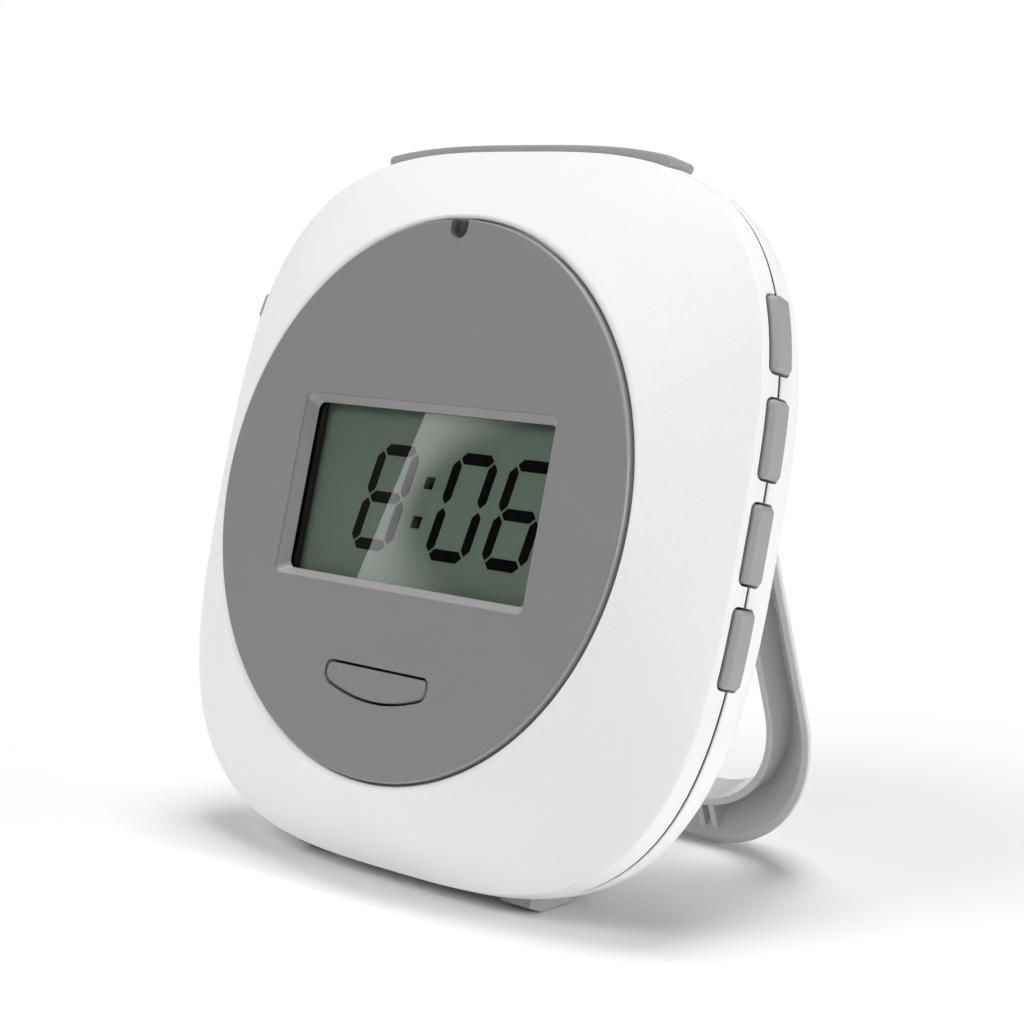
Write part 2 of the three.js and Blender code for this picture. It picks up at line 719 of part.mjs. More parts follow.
function backProfile(inset) {
  const points = [];
  for (let i = 0; i <= BACK_STEPS; i++) {
    const turn = (i / BACK_STEPS) * (Math.PI / 2);
    const radius = backRound - inset;
    points.push([BODY_HALF - backRound + radius * Math.cos(turn), rearStart + radius * Math.sin(turn)]);
  }
  return points;
}

const bayBox = (grow, from, to) =>
  block(
    [-bayHalfX - grow, bayHalfX + grow],
    [from, to],
    [BAY_CENTRE - bayHalfZ - grow, BAY_CENTRE + bayHalfZ + grow],
  );
const doorBox = (grow, from, to) =>
  block(
    [-doorHalfX - grow, doorHalfX + grow],
    [from, to],
    [BAY_CENTRE - doorHalfZ - grow, BAY_CENTRE + doorHalfZ + grow],
  );

// Underside of the rear shell at a depth
const undersideAt = (depth) => {
  const radius = BODY_HALF - backRound + Math.sqrt(backRound ** 2 - (depth - rearStart) ** 2);
  return -radius * tallAt(widening(radius));
};
const landStart = FOOT_LAND[0];
const landHeight = undersideAt(landStart) - FOOT_HEIGHT;
// Panel's centre above the floor
const panelHeight = landStart * Math.sin(tilt) - landHeight * Math.cos(tilt);
// Floor height in the case frame at a depth
const floorAt = (depth) => (depth * Math.sin(tilt) - panelHeight) / Math.cos(tilt);

function footOutline(grow) {
  const [front, back] = [FOOT_FRONT - grow, FOOT_BACK + grow];
  return polygon([
    [front, undersideAt(FOOT_FRONT) - grow],
    [FOOT_LAND[0] - grow, floorAt(FOOT_LAND[0]) - grow],
    [FOOT_LAND[1] + grow, floorAt(FOOT_LAND[1]) - grow],
    [back, undersideAt(FOOT_BACK) - grow],
    [back, undersideAt(FOOT_BACK) + FOOT_ROOT + grow],
    [front, undersideAt(FOOT_FRONT) + FOOT_ROOT + grow],
  ]);
}

function footPrism(side, grow) {
  const span = [FOOT_OUTER - FOOT_WIDTH - grow, FOOT_OUTER + grow];
  return sidePrism(footOutline(grow), side > 0 ? span : [-span[1], -span[0]]);
}

const saddleMiddle = motorFace - MOTOR_LENGTH / 2;
const saddleReach = [saddleMiddle - SADDLE_WIDTH / 2, saddleMiddle + SADDLE_WIDTH / 2];
const motorFront = motorAxis - MOTOR_FLAT;
const saddleHalf = MOTOR_RADIUS + GAP + SADDLE_WALL;
const saddleSpan = [MOTOR_HEIGHT - saddleHalf, MOTOR_HEIGHT + saddleHalf];
const clampReach = [motorFront - GAP - CLAMP_THICKNESS, motorFront - GAP];
const stakeHeights = [-1, 1].map((side) => MOTOR_HEIGHT + side * (saddleHalf - SADDLE_WALL / 2));

function motorSaddle() {
  const bed = block(saddleReach, [motorFront, bodyDepth], saddleSpan);
  const trough = block(
    [saddleReach[0] - GAP, saddleReach[1] + GAP],
    [motorFront - GAP, motorAxis + MOTOR_FLAT + GAP],
    [MOTOR_HEIGHT - MOTOR_RADIUS - GAP, MOTOR_HEIGHT + MOTOR_RADIUS + GAP],
  );
  const stakes = stakeHeights.map((z) =>
    rodInward(STAKE_RADIUS, [clampReach[0], motorFront + GAP], saddleMiddle, z, SMALL_SIDES),
  );
  return join(cut(bed, trough), ...stakes);
}

const lugReach = [STAND_HALF - STAND_BAND - GAP - LUG_WIDTH, STAND_HALF - STAND_BAND - GAP];
const mirrored = ([a, b], side) => (side > 0 ? [a, b] : [-b, -a]);

function standLug(side) {
  const half = STAND_THICKNESS / 2;
  const reach = mirrored(lugReach, side);
  return join(
    rodAcross(half, reach, hingeDepth, STAND_HINGE_HEIGHT),
    block(reach, [rearInner + GAP, hingeDepth], [STAND_HINGE_HEIGHT - half, STAND_HINGE_HEIGHT + half]),
  );
}

function tongueSlot(side) {
  const x = -bayHalfX + GAP + CONTACT_THICKNESS / 2;
  const z = BAY_CENTRE + (side * CELL_PITCH) / 2;
  const [halfX, halfZ] = [CONTACT_THICKNESS / 2 + GAP, CONTACT_TONGUE / 2 + GAP];
  return block([x - halfX, x + halfX], [0, bayFloor + GAP], [z - halfZ, z + halfZ]);
}

// The bay and the saddle reach forward of the rear shell's edge, and this cuts off the rest of them
const behindParting = block([-FAR, FAR], [rearStart + GAP, FAR], [-FAR, FAR]);

function rearShell() {
  const outer = turnedCase([[0, rearStart], ...backProfile(0), [0, bodyDepth]]);
  const inner = backProfile(WALL);
  const mouth = rearStart - WALL;
  const hollow = turnedCase([[0, mouth], [inner[0][0], mouth], ...inner, [0, rearInner]], WALL);
  const bosses = caseScrewPlaces.map(([x, z]) => rodInward(bossRadius, [rearStart, FAR], x, z));
  const footSockets = [-1, 1].map((side) => footPrism(side, GAP));
  const footWalls = [-1, 1].map((side) => footPrism(side, GAP + WALL));
  const bay = bayBox(0, bayFloor, FAR);
  const bayWalls = bayBox(BAY_WALL, bayFloor - BAY_WALL, FAR);
  const rebate = doorBox(GAP, doorFront - GAP, FAR);
  const rebateWalls = doorBox(GAP + BAY_WALL, doorFront - GAP - BAY_WALL, FAR);
  const thumbRest = rodInward(THUMB_RADIUS, [doorFront, FAR], 0, BAY_CENTRE + doorHalfZ);
  const clearances = caseScrewPlaces.map(([x, z]) =>
    rodInward(SCREW_SHANK_RADIUS + GAP, [0, FAR], x, z, SMALL_SIDES),
  );
  const headWells = caseScrewPlaces.map(([x, z]) =>
    rodInward(SCREW_HEAD_RADIUS + GAP, [bodyDepth - SCREW_SINK - SCREW_HEAD_HEIGHT - GAP, FAR], x, z),
  );
  const pinHoles = [-1, 1].map((side) =>
    rodAcross(PIN_RADIUS + GAP, mirrored([lugReach[0] - GAP, FAR], side), hingeDepth, STAND_HINGE_HEIGHT),
  );
  const shell = cut(
    join(outer, cut(bayWalls, behindParting)),
    cut(hollow, ...bosses, ...footWalls, bayWalls, rebateWalls, motorSaddle()),
    bay,
    rebate,
    thumbRest,
    ...footSockets,
    ...clearances,
    ...headWells,
    ...sideHoles,
    snoozeHole(),
    tongueSlot(-1),
    tongueSlot(1),
  );
  const lugs = [-1, 1].map(standLug);
  return cut(join(shell, cut(motorSaddle(), behindParting), ...lugs), ...pinHoles);
}

// Batteries and their contacts

const cellHeights = [BAY_CENTRE + CELL_PITCH / 2, BAY_CENTRE - CELL_PITCH / 2];

function battery(height, way) {
  const r = CELL_DIAMETER / 2;
  const half = CELL_LENGTH / 2;
  const can = rodAcross(r, mirrored([-half, half - NUB_LENGTH], way), cellAxis, height);
  const nub = rodAcross(NUB_RADIUS, mirrored([half - NUB_LENGTH - GAP, half], way), cellAxis, height);
  return join(can, nub);
}

class CoilPath extends THREE.Curve {
  constructor(from, to, height) {
    super();
    Object.assign(this, { from, to, height });
  }
  getPoint(t, target = new THREE.Vector3()) {
    const turn = 2 * Math.PI * SPRING_TURNS * t;
    const radius = SPRING_WIDE + (SPRING_NARROW - SPRING_WIDE) * t;
    const x = this.from + (this.to - this.from) * t;
    return target.set(x, cellAxis + radius * Math.cos(turn), this.height + radius * Math.sin(turn));
  }
}

const contactFace = bayHalfX - GAP - CONTACT_THICKNESS;
const cellEnd = CELL_LENGTH / 2;

function contactPlate(side, heights) {
  const half = CONTACT_SIZE / 2;
  const span = [Math.min(...heights) - half, Math.max(...heights) + half];
  const reach = mirrored([contactFace, contactFace + CONTACT_THICKNESS], side);
  return block(reach, [cellAxis - half, cellAxis + half], span);
}

function contactSpring(side, height) {
  const wire = new THREE.Shape().absarc(0, 0, WIRE_RADIUS, 0, 2 * Math.PI);
  const path = new CoilPath(
    side * (contactFace + CONTACT_THICKNESS / 2),
    side * (cellEnd + GAP + WIRE_RADIUS),
    height,
  );
  const options = { steps: COIL_STEPS, extrudePath: path, curveSegments: WIRE_STEPS };
  return solid(new THREE.ExtrudeGeometry(wire, options));
}

function contactBump(side, height) {
  const reach = mirrored([cellEnd + GAP, contactFace + CONTACT_THICKNESS / 2], side);
  return rodAcross(NUB_RADIUS, reach, cellAxis, height, SMALL_SIDES);
}

function contactTongue(height) {
  const half = CONTACT_TONGUE / 2;
  return block(
    [-contactFace - CONTACT_THICKNESS, -contactFace],
    [boardBack + GAP, cellAxis],
    [height - half, height + half],
  );
}

// Motor, its turning weight and what holds it

function motorOutline() {
  const r = MOTOR_RADIUS;
  const turn = Math.acos(MOTOR_FLAT / r);
  const outline = new THREE.Shape();
  outline.absarc(motorAxis, MOTOR_HEIGHT, r, turn, Math.PI - turn);
  outline.absarc(motorAxis, MOTOR_HEIGHT, r, Math.PI + turn, 2 * Math.PI - turn);
  return outline;
}

const shaftEnd = motorFace + MOTOR_NOSE + GAP + WEIGHT_LENGTH;

function vibrationMotor() {
  const can = sidePrism(motorOutline(), [MOTOR_END, motorFace], 0, MOTOR_STEPS);
  const noseReach = [motorFace - GAP, motorFace + MOTOR_NOSE];
  const nose = rodAcross(MOTOR_NOSE_RADIUS, noseReach, motorAxis, MOTOR_HEIGHT);
  const bore = rodAcross(
    SHAFT_RADIUS + GAP,
    [motorFace + MOTOR_NOSE - SHAFT_SEAT - GAP, FAR],
    motorAxis,
    MOTOR_HEIGHT,
    SMALL_SIDES,
  );
  return cut(join(can, nose), bore);
}

function eccentricWeight() {
  const reach = [shaftEnd - WEIGHT_LENGTH, shaftEnd];
  const half = new THREE.Shape().absarc(motorAxis, MOTOR_HEIGHT, WEIGHT_RADIUS, Math.PI, 2 * Math.PI);
  return cut(
    join(sidePrism(half, reach, 0, MOTOR_STEPS), rodAcross(HUB_RADIUS, reach, motorAxis, MOTOR_HEIGHT)),
    rodAcross(SHAFT_RADIUS + GAP, [reach[0] - GAP, reach[1] + GAP], motorAxis, MOTOR_HEIGHT, SMALL_SIDES),
  );
}

function motorClamp() {
  const strap = block(saddleReach, clampReach, saddleSpan);
  const through = [clampReach[0] - GAP, clampReach[1] + GAP];
  const holes = stakeHeights.map((z) =>
    rodInward(STAKE_RADIUS + GAP, through, saddleMiddle, z, SMALL_SIDES),
  );
  return cut(strap, ...holes);
}

function motorLead(side) {
  const z = MOTOR_HEIGHT + side * LEAD_SPREAD;
  const start = MOTOR_END - GAP;
  const end = MOTOR_END - LEAD_REACH;
  const path = new THREE.CatmullRomCurve3([
    new THREE.Vector3(start, motorAxis, z),
    new THREE.Vector3(start + (end - start) / 3, motorAxis, z),
    new THREE.Vector3(end, (motorAxis + boardBack) / 2, z),
    new THREE.Vector3(end, boardBack + GAP, z),
  ]);
  const wire = new THREE.Shape().absarc(0, 0, LEAD_RADIUS, 0, 2 * Math.PI);
  const options = { steps: LEAD_STEPS, extrudePath: path, curveSegments: WIRE_STEPS };
  return solid(new THREE.ExtrudeGeometry(wire, options));
}

// Circuit board, display pieces and screws

function mainBoard() {
  const angles = Array.from({ length: OUTLINE_STEPS }, (_, i) => (-2 * Math.PI * i) / OUTLINE_STEPS);
  const reach = [boardFront, boardBack];
  const plate = platePrism(polygon(angles.map((angle) => outlinePoint(boardHalf, angle))), reach);
  const bosses = caseScrewPlaces.map(([x, z]) => rodInward(bossRadius + GAP, [0, FAR], x, z));
  const holes = postPlaces.map(([x, z]) =>
    rodInward(BOARD_SCREW_SHANK_RADIUS + GAP, [0, FAR], x, z, SMALL_SIDES),
  );
  return cut(plate, block([-FAR, FAR], [0, FAR], [-FAR, BOARD_LOWER_EDGE]), ...bosses, ...holes);
}

function lcdHolder() {
  const reach = [seatBack + GAP, boardFront - GAP];
  const outer = block(
    [-displayHalfX - HOLDER_WALL, displayHalfX + HOLDER_WALL],
    reach,
    [-displayHalfZ - HOLDER_WALL, displayHalfZ + HOLDER_WALL],
  );
  return cut(
    outer,
    block([-displayHalfX - GAP, displayHalfX + GAP], [0, FAR], [-displayHalfZ - GAP, displayHalfZ + GAP]),
  );
}

const displayPlate = (front, thickness) =>
  block([-displayHalfX, displayHalfX], [front, front + thickness], [-displayHalfZ, displayHalfZ]);

function zebraStrip(side) {
  const span = [displayHalfZ - ZEBRA_WIDTH, displayHalfZ];
  return block([-displayHalfX, displayHalfX], [zebraFront, zebraBack], mirrored(span, side));
}

function screw([x, z], headFront, headRadius, headHeight, shankRadius, tip) {
  const profile = [
    [0, tip],
    [shankRadius / 2, tip],
    [shankRadius, tip + shankRadius],
    [shankRadius, headFront],
    [headRadius, headFront],
    [headRadius, headFront + headHeight / 2],
    [headRadius * SCREW_CROWN, headFront + headHeight],
    [0, headFront + headHeight],
  ];
  return moved(turnedRound(profile, SMALL_SIDES), new THREE.Matrix4().makeTranslation(x, 0, z));
}

// Stand: a U of channel section in its own frame, with the hinge axis as X and the legs hanging down

const standLean = radians(STAND_OPEN - TILT);
const hinge = new THREE.Group();
hinge.position.set(0, hingeDepth, STAND_HINGE_HEIGHT);
hinge.rotation.x = radians(STAND_OPEN);
body.add(hinge);
const hingeAboveFloor = panelHeight + STAND_HINGE_HEIGHT * Math.cos(tilt) - hingeDepth * Math.sin(tilt);
const standFront = -STAND_THICKNESS / 2;
const landRise = (standFront + STAND_LAND) * Math.sin(standLean);
const standLength = (hingeAboveFloor + landRise) / Math.cos(standLean);

// Sections across the band: [inset from the outer edge, depth behind the front rim].
// The inner wall is square to the front, and a skin slants back to it from the outer edge.
const skinSlope = (STAND_THICKNESS - STAND_LIP) / (STAND_BAND - STAND_BACK);
const skinDrop = STAND_WALL * Math.hypot(1, skinSlope);
const filledSection = [
  [STAND_BAND, 0],
  [STAND_BAND, STAND_THICKNESS],
  [STAND_BAND - STAND_BACK, STAND_THICKNESS],
  [0, STAND_LIP],
  [0, 0],
];
const wallInner = STAND_BAND - STAND_WALL;
const channelSection = [
  ...filledSection,
  [(skinDrop - STAND_LIP) / skinSlope, 0],
  [wallInner, STAND_LIP + skinSlope * wallInner - skinDrop],
  [wallInner, 0],
];

const knuckleReach = [STAND_HALF - STAND_BAND, STAND_HALF - KNUCKLE_INSET];

// A section carried down one leg, round both corners and up the other leg
function standSweep(section) {
  const middle = STAND_HALF - STAND_CORNER;
  const centre = STAND_CORNER - standLength;
  const stops = [{ x: -middle, z: 0, angle: Math.PI }];
  for (const side of [-1, 1]) {
    for (let i = 0; i <= STAND_STEPS; i++) {
      const turn = side > 0 ? 1 + i / STAND_STEPS : i / STAND_STEPS;
      stops.push({ x: side * middle, z: centre, angle: Math.PI + (turn * Math.PI) / 2 });
    }
  }
  stops.push({ x: middle, z: 0, angle: 2 * Math.PI });

  const place = ({ x, z, angle }, [inset, depth]) => {
    const reach = STAND_CORNER - inset;
    return [x + reach * Math.cos(angle), standFront + depth, z + reach * Math.sin(angle)];
  };
  const positions = stops.flatMap((stop) => section.flatMap((point) => place(stop, point)));
  const count = section.length;
  const corners = [];
  for (let k = 0; k + 1 < stops.length; k++) {
    section.forEach((_, i) => {
      const [a, b] = [k * count + i, k * count + ((i + 1) % count)];
      corners.push(a, a + count, b, b, a + count, b + count);
    });
  }
  const flat = section.map(([inset, depth]) => new THREE.Vector2(inset, depth));
  const last = (stops.length - 1) * count;
  for (const [a, b, c] of THREE.ShapeUtils.triangulateShape(flat, [])) {
    corners.push(a, b, c, last + a, last + c, last + b);
  }
  const geometry = new THREE.BufferGeometry();
  geometry.setAttribute("position", new THREE.Float32BufferAttribute(positions, 3));
  geometry.setIndex(corners);
  return solid(geometry);
}

function loopStand() {
  const acrossBand = [standFront, -standFront];
  const solidTop = block([-FAR, FAR], acrossBand, [-STAND_SOLID_TOP, FAR]);
  const ribs = STAND_RIBS.flatMap((x) => [-x, x]).map((x) =>
    block(
      [x - STAND_RIB_THICKNESS / 2, x + STAND_RIB_THICKNESS / 2],
      [standFront + STAND_RIB_RECESS, -standFront],
      [-standLength, STAND_CORNER - standLength],
    ),
  );
  const filling = standSweep(filledSection).intersect(join(solidTop, ...ribs));
  const knuckles = [-1, 1].map((side) => rodAcross(-standFront, mirrored(knuckleReach, side), 0, 0));
  const pinHoles = [-1, 1].map((side) =>
    rodAcross(PIN_RADIUS + GAP, mirrored([0, knuckleReach[1] - PIN_COVER], side), 0, 0),
  );
  const floor = new THREE.BoxGeometry(FAR, FAR, FAR).translate(0, 0, -hingeAboveFloor - FAR / 2);
  const underfoot = solid(floor.rotateX(-standLean));
  return cut(join(standSweep(channelSection), filling, ...knuckles), ...pinHoles, underfoot);
}

const pinReach = [lugReach[0], knuckleReach[1] - PIN_COVER - GAP];

// The assembly

add("front_shell", frontShell(), white);
add("rear_shell", rearShell(), white);
add("face_panel", facePanel(), panelGrey);
add("lcd_lens", displayPlate(lensFront, LENS_THICKNESS), clear);
add("lcd_glass", displayPlate(lcdFront, LCD_THICKNESS), displayGreen);
add("lcd_holder", lcdHolder(), white);
add("zebra_upper", zebraStrip(1), black);
add("zebra_lower", zebraStrip(-1), black);
add("main_board", mainBoard(), boardGreen);

add(
  "test_button",
  join(
    platePrism(testOutline(0), [0, seatFront + GAP]),
    platePrism(testOutline(FLANGE), [seatFront, testFlangeBack]),
    rodInward(PLUNGER_WIDTH / 2, [testFlangeBack - GAP, testStemBack], 0, testMiddle, SMALL_SIDES),
  ),
  panelGrey,
);
add(
  "test_switch",
  join(
    rodInward(PLUNGER_WIDTH / 2, [testSwitchFront, boardFront - GAP], 0, testMiddle, SMALL_SIDES),
    block(
      [-SWITCH_WIDTH / 2, SWITCH_WIDTH / 2],
      [testSwitchFront + PLUNGER_LENGTH, boardFront - GAP],
      [testMiddle - SWITCH_WIDTH / 2, testMiddle + SWITCH_WIDTH / 2],
    ),
  ),
  black,
);
add("snooze_bar", snoozeBar(), buttonGrey);

const upward = new THREE.Group();
upward.position.set(0, PARTING, bodyTop - stemInner - SNOOZE_TRAVEL - PRESS_SPARE);
upward.rotation.y = -Math.PI / 2;
body.add(upward);
add("snooze_switch", pushSwitch(switchOnBoard), black, upward);

stations.buttons.forEach((station, i) => {
  body.add(station);
  add(`side_button_${i + 1}`, sideButton(), buttonGrey, station);
  const behind = new THREE.Group();
  behind.position.x = -sidePlunger;
  station.add(behind);
  add(`side_switch_${i + 1}`, pushSwitch(switchOnBoard), black, behind);
});

stations.knobs.forEach((station, i) => {
  const knob = KNOBS[i];
  body.add(station);
  const slider = new THREE.Group();
  slider.position.z = (-knob.start * knob.travel) / 2;
  station.add(slider);
  add(`${knob.name}_knob`, slideKnob(knob), buttonGrey, slider);
  add(`${knob.name}_switch`, slideSwitch(knob, switchOnBoard), black, station);
});

add("battery_1", battery(cellHeights[0], 1), steel);
add("battery_2", battery(cellHeights[1], -1), steel);
add(
  "contact_bridge",
  join(contactPlate(1, cellHeights), contactBump(1, cellHeights[0]), contactSpring(1, cellHeights[1])),
  steel,
);
add(
  "contact_negative",
  join(
    contactPlate(-1, [cellHeights[0]]),
    contactSpring(-1, cellHeights[0]),
    contactTongue(cellHeights[0]),
  ),
  steel,
);
add(
  "contact_positive",
  join(contactPlate(-1, [cellHeights[1]]), contactBump(-1, cellHeights[1]), contactTongue(cellHeights[1])),
  steel,
);

const doorLower = BAY_CENTRE - doorHalfZ;
const doorProfile = polygon([
  [bodyDepth, doorLower],
  [bodyDepth, doorLower + 2 * doorHalfZ],
  [doorFront, doorLower + 2 * doorHalfZ],
  [doorFront, doorLower + DOOR_THICKNESS],
]);
add("battery_door", sidePrism(doorProfile, [-doorHalfX, doorHalfX]), white);

add("vibration_motor", vibrationMotor(), steel);
add(
  "motor_shaft",
  rodAcross(
    SHAFT_RADIUS,
    [motorFace + MOTOR_NOSE - SHAFT_SEAT, shaftEnd],
    motorAxis,
    MOTOR_HEIGHT,
    SMALL_SIDES,
  ),
  steel,
);
add("eccentric_weight", eccentricWeight(), brass);
add("motor_clamp", motorClamp(), steel);
add("motor_lead_1", motorLead(-1), black);
add("motor_lead_2", motorLead(1), plastic(0xb02020));

const buzzerHeight = displayHalfZ + HOLDER_WALL + GAP + BUZZER_RADIUS;
add(
  "piezo_buzzer",
  rodInward(BUZZER_RADIUS, [seatBack + GAP, seatBack + GAP + BUZZER_THICKNESS], 0, buzzerHeight),
  brass,
);
const chipStart = shaftEnd + CHIP_CLEARANCE;
add(
  "controller_chip",
  block(
    [chipStart, chipStart + CHIP_SIZE],
    [boardBack + GAP, boardBack + GAP + CHIP_THICKNESS],
    [MOTOR_HEIGHT - CHIP_SIZE / 2, MOTOR_HEIGHT + CHIP_SIZE / 2],
  ),
  black,
);
const crystalStart = chipStart + CHIP_SIZE + GAP + CRYSTAL_RADIUS;
add(
  "clock_crystal",
  rodAcross(
    CRYSTAL_RADIUS,
    [crystalStart, crystalStart + CRYSTAL_LENGTH],
    boardBack + GAP + CRYSTAL_RADIUS,
    MOTOR_HEIGHT,
    SMALL_SIDES,
  ),
  steel,
);

const headFront = bodyDepth - SCREW_SINK - SCREW_HEAD_HEIGHT;
caseScrewPlaces.forEach((place, i) => {
  const tip = frontEnd - SCREW_BITE;
  const shape = screw(place, headFront, SCREW_HEAD_RADIUS, SCREW_HEAD_HEIGHT, SCREW_SHANK_RADIUS, tip);
  add(`case_screw_${i + 1}`, shape, steel);
});
postPlaces.forEach((place, i) => {
  const tip = boardFront - BOARD_SCREW_BITE;
  const shape = screw(
    place,
    boardBack + GAP,
    BOARD_SCREW_HEAD_RADIUS,
    BOARD_SCREW_HEAD_HEIGHT,
    BOARD_SCREW_SHANK_RADIUS,
    tip,
  );
  add(`board_screw_${i + 1}`, shape, steel);
});

add("foot_left", footPrism(-1, 0), standGrey);
add("foot_right", footPrism(1, 0), standGrey);
add("stand", loopStand(), standGrey, hinge);
add("stand_pin_left", rodAcross(PIN_RADIUS, mirrored(pinReach, -1), hingeDepth, STAND_HINGE_HEIGHT), steel);
add("stand_pin_right", rodAcross(PIN_RADIUS, mirrored(pinReach, 1), hingeDepth, STAND_HINGE_HEIGHT), steel);

// Stand the clock on the floor, centred over the origin
const box = new THREE.Box3().setFromObject(clock, true);
const middle = box.getCenter(new THREE.Vector3());
body.position.set(-middle.x, -middle.y, -box.min.z);

export default clock;
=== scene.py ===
# %% [markdown]
# # A vibrating alarm clock
#
# The CAD frame says where every piece of the clock is and how it moves. This script gives the clock
# its looks: the pieces that show are modelled again with smooth curves and soft edges, and every
# piece gets a finish made of shader maths alone.

import json
import math

import bmesh
import bpy
from mathutils import Matrix, Vector


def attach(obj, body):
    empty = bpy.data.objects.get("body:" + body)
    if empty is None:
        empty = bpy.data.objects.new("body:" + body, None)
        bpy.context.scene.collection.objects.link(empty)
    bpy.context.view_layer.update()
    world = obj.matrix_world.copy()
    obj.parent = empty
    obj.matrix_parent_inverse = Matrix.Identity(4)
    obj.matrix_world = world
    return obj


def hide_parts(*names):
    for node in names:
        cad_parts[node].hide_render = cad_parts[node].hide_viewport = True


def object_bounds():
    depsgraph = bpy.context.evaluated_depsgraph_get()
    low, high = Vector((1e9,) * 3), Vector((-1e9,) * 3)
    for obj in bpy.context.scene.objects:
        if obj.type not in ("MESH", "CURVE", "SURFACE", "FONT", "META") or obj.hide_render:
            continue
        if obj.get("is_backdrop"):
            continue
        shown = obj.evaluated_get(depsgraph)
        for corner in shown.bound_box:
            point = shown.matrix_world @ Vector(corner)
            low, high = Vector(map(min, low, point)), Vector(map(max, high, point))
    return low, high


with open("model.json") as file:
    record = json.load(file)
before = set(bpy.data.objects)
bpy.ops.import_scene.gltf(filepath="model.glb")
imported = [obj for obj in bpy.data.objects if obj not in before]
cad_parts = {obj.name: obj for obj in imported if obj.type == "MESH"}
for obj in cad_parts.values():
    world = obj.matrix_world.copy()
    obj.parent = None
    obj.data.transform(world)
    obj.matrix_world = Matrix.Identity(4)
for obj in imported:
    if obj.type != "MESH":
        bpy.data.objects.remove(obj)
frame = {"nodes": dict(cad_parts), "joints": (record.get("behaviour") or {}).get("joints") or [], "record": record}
cad_low, cad_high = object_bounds()
nodes = frame["nodes"]
joints = {joint["name"]: joint for joint in frame["joints"]}
MM = 0.001

# %% [markdown]
# ## The case's own axes
#
# The clock leans back, and modelling on a slope is hard to think about. So the pieces are modelled
# upright and leaned back once finished. The test button is pressed straight into the face, so its
# joint's axis tells the lean. Upright, x runs right, y into the clock and z up the face, from the
# middle of the face panel's front.

# %% Upright axes
press = Vector(joints["test_press"]["axis"])
lean_back = Matrix.Rotation(-math.atan2(-press.z, press.y), 4, "X")


def spread(node, turn):
    """Lowest and highest corner of a CAD node after a turn."""
    points = [turn @ vertex.co for vertex in nodes[node].data.vertices]
    low = Vector([min(point[i] for point in points) for i in range(3)])
    high = Vector([max(point[i] for point in points) for i in range(3)])
    return low, high


panel_low, panel_high = spread("face_panel", lean_back.inverted())
PANEL_RADIUS = (panel_high.x - panel_low.x) / 2
panel_middle = (panel_low.x + PANEL_RADIUS, panel_low.y, panel_low.z + PANEL_RADIUS)
CASE = lean_back @ Matrix.Translation(panel_middle)


def upright_box(node):
    """Lowest and highest corner of a CAD node on the upright axes, in metres."""
    return spread(node, CASE.inverted())


def box_mm(node):
    """The same two corners in millimetres."""
    return [corner / MM for corner in upright_box(node)]


print("panel radius:", round(PANEL_RADIUS / MM, 2), "mm")

# %% [markdown]
# ## The camera
#
# The photograph's view was worked out from the round panel and the upright lines: the camera stands
# to the clock's right and a little above it. A photograph shows proportions and no lengths, so its
# place is given in multiples of the round opening's radius.

# %% Camera
PHOTO_UNIT = 34 * MM
AZIMUTH = math.radians(44.57)
ELEVATION = math.radians(8.12)
EYE_RIGHT = 0.3587
EYE_UP = -0.0505
EYE_AWAY = 8.4635
level = Vector((math.sin(AZIMUTH), -math.cos(AZIMUTH), 0))
toward = level * math.cos(ELEVATION) + Vector((0, 0, math.sin(ELEVATION)))
rightward = Vector((math.cos(AZIMUTH), math.sin(AZIMUTH), 0))
upward = toward.cross(rightward)
offset = EYE_RIGHT * rightward + EYE_UP * upward + EYE_AWAY * toward
eye = CASE.to_translation() + PHOTO_UNIT * offset
camera_data = bpy.data.cameras.new("camera")
camera_data.sensor_width = 36
camera_data.lens = 85.6
camera_data.clip_start = 0.01
camera = bpy.data.objects.new("camera", camera_data)
bpy.context.collection.objects.link(camera)
facing = Matrix((rightward, upward, toward)).transposed()
camera.matrix_world = Matrix.Translation(eye) @ facing.to_4x4()
bpy.context.scene.camera = camera
print("camera at", [round(value, 3) for value in eye])

# %% [markdown]
# ## Writing shader maths
#
# Wiring nodes by hand takes many lines. This small class wraps a socket, so that `1 - mask * 0.2`
# builds the two Math nodes by itself. Every other node comes from `node`: its type, its settings,
# then its sockets.


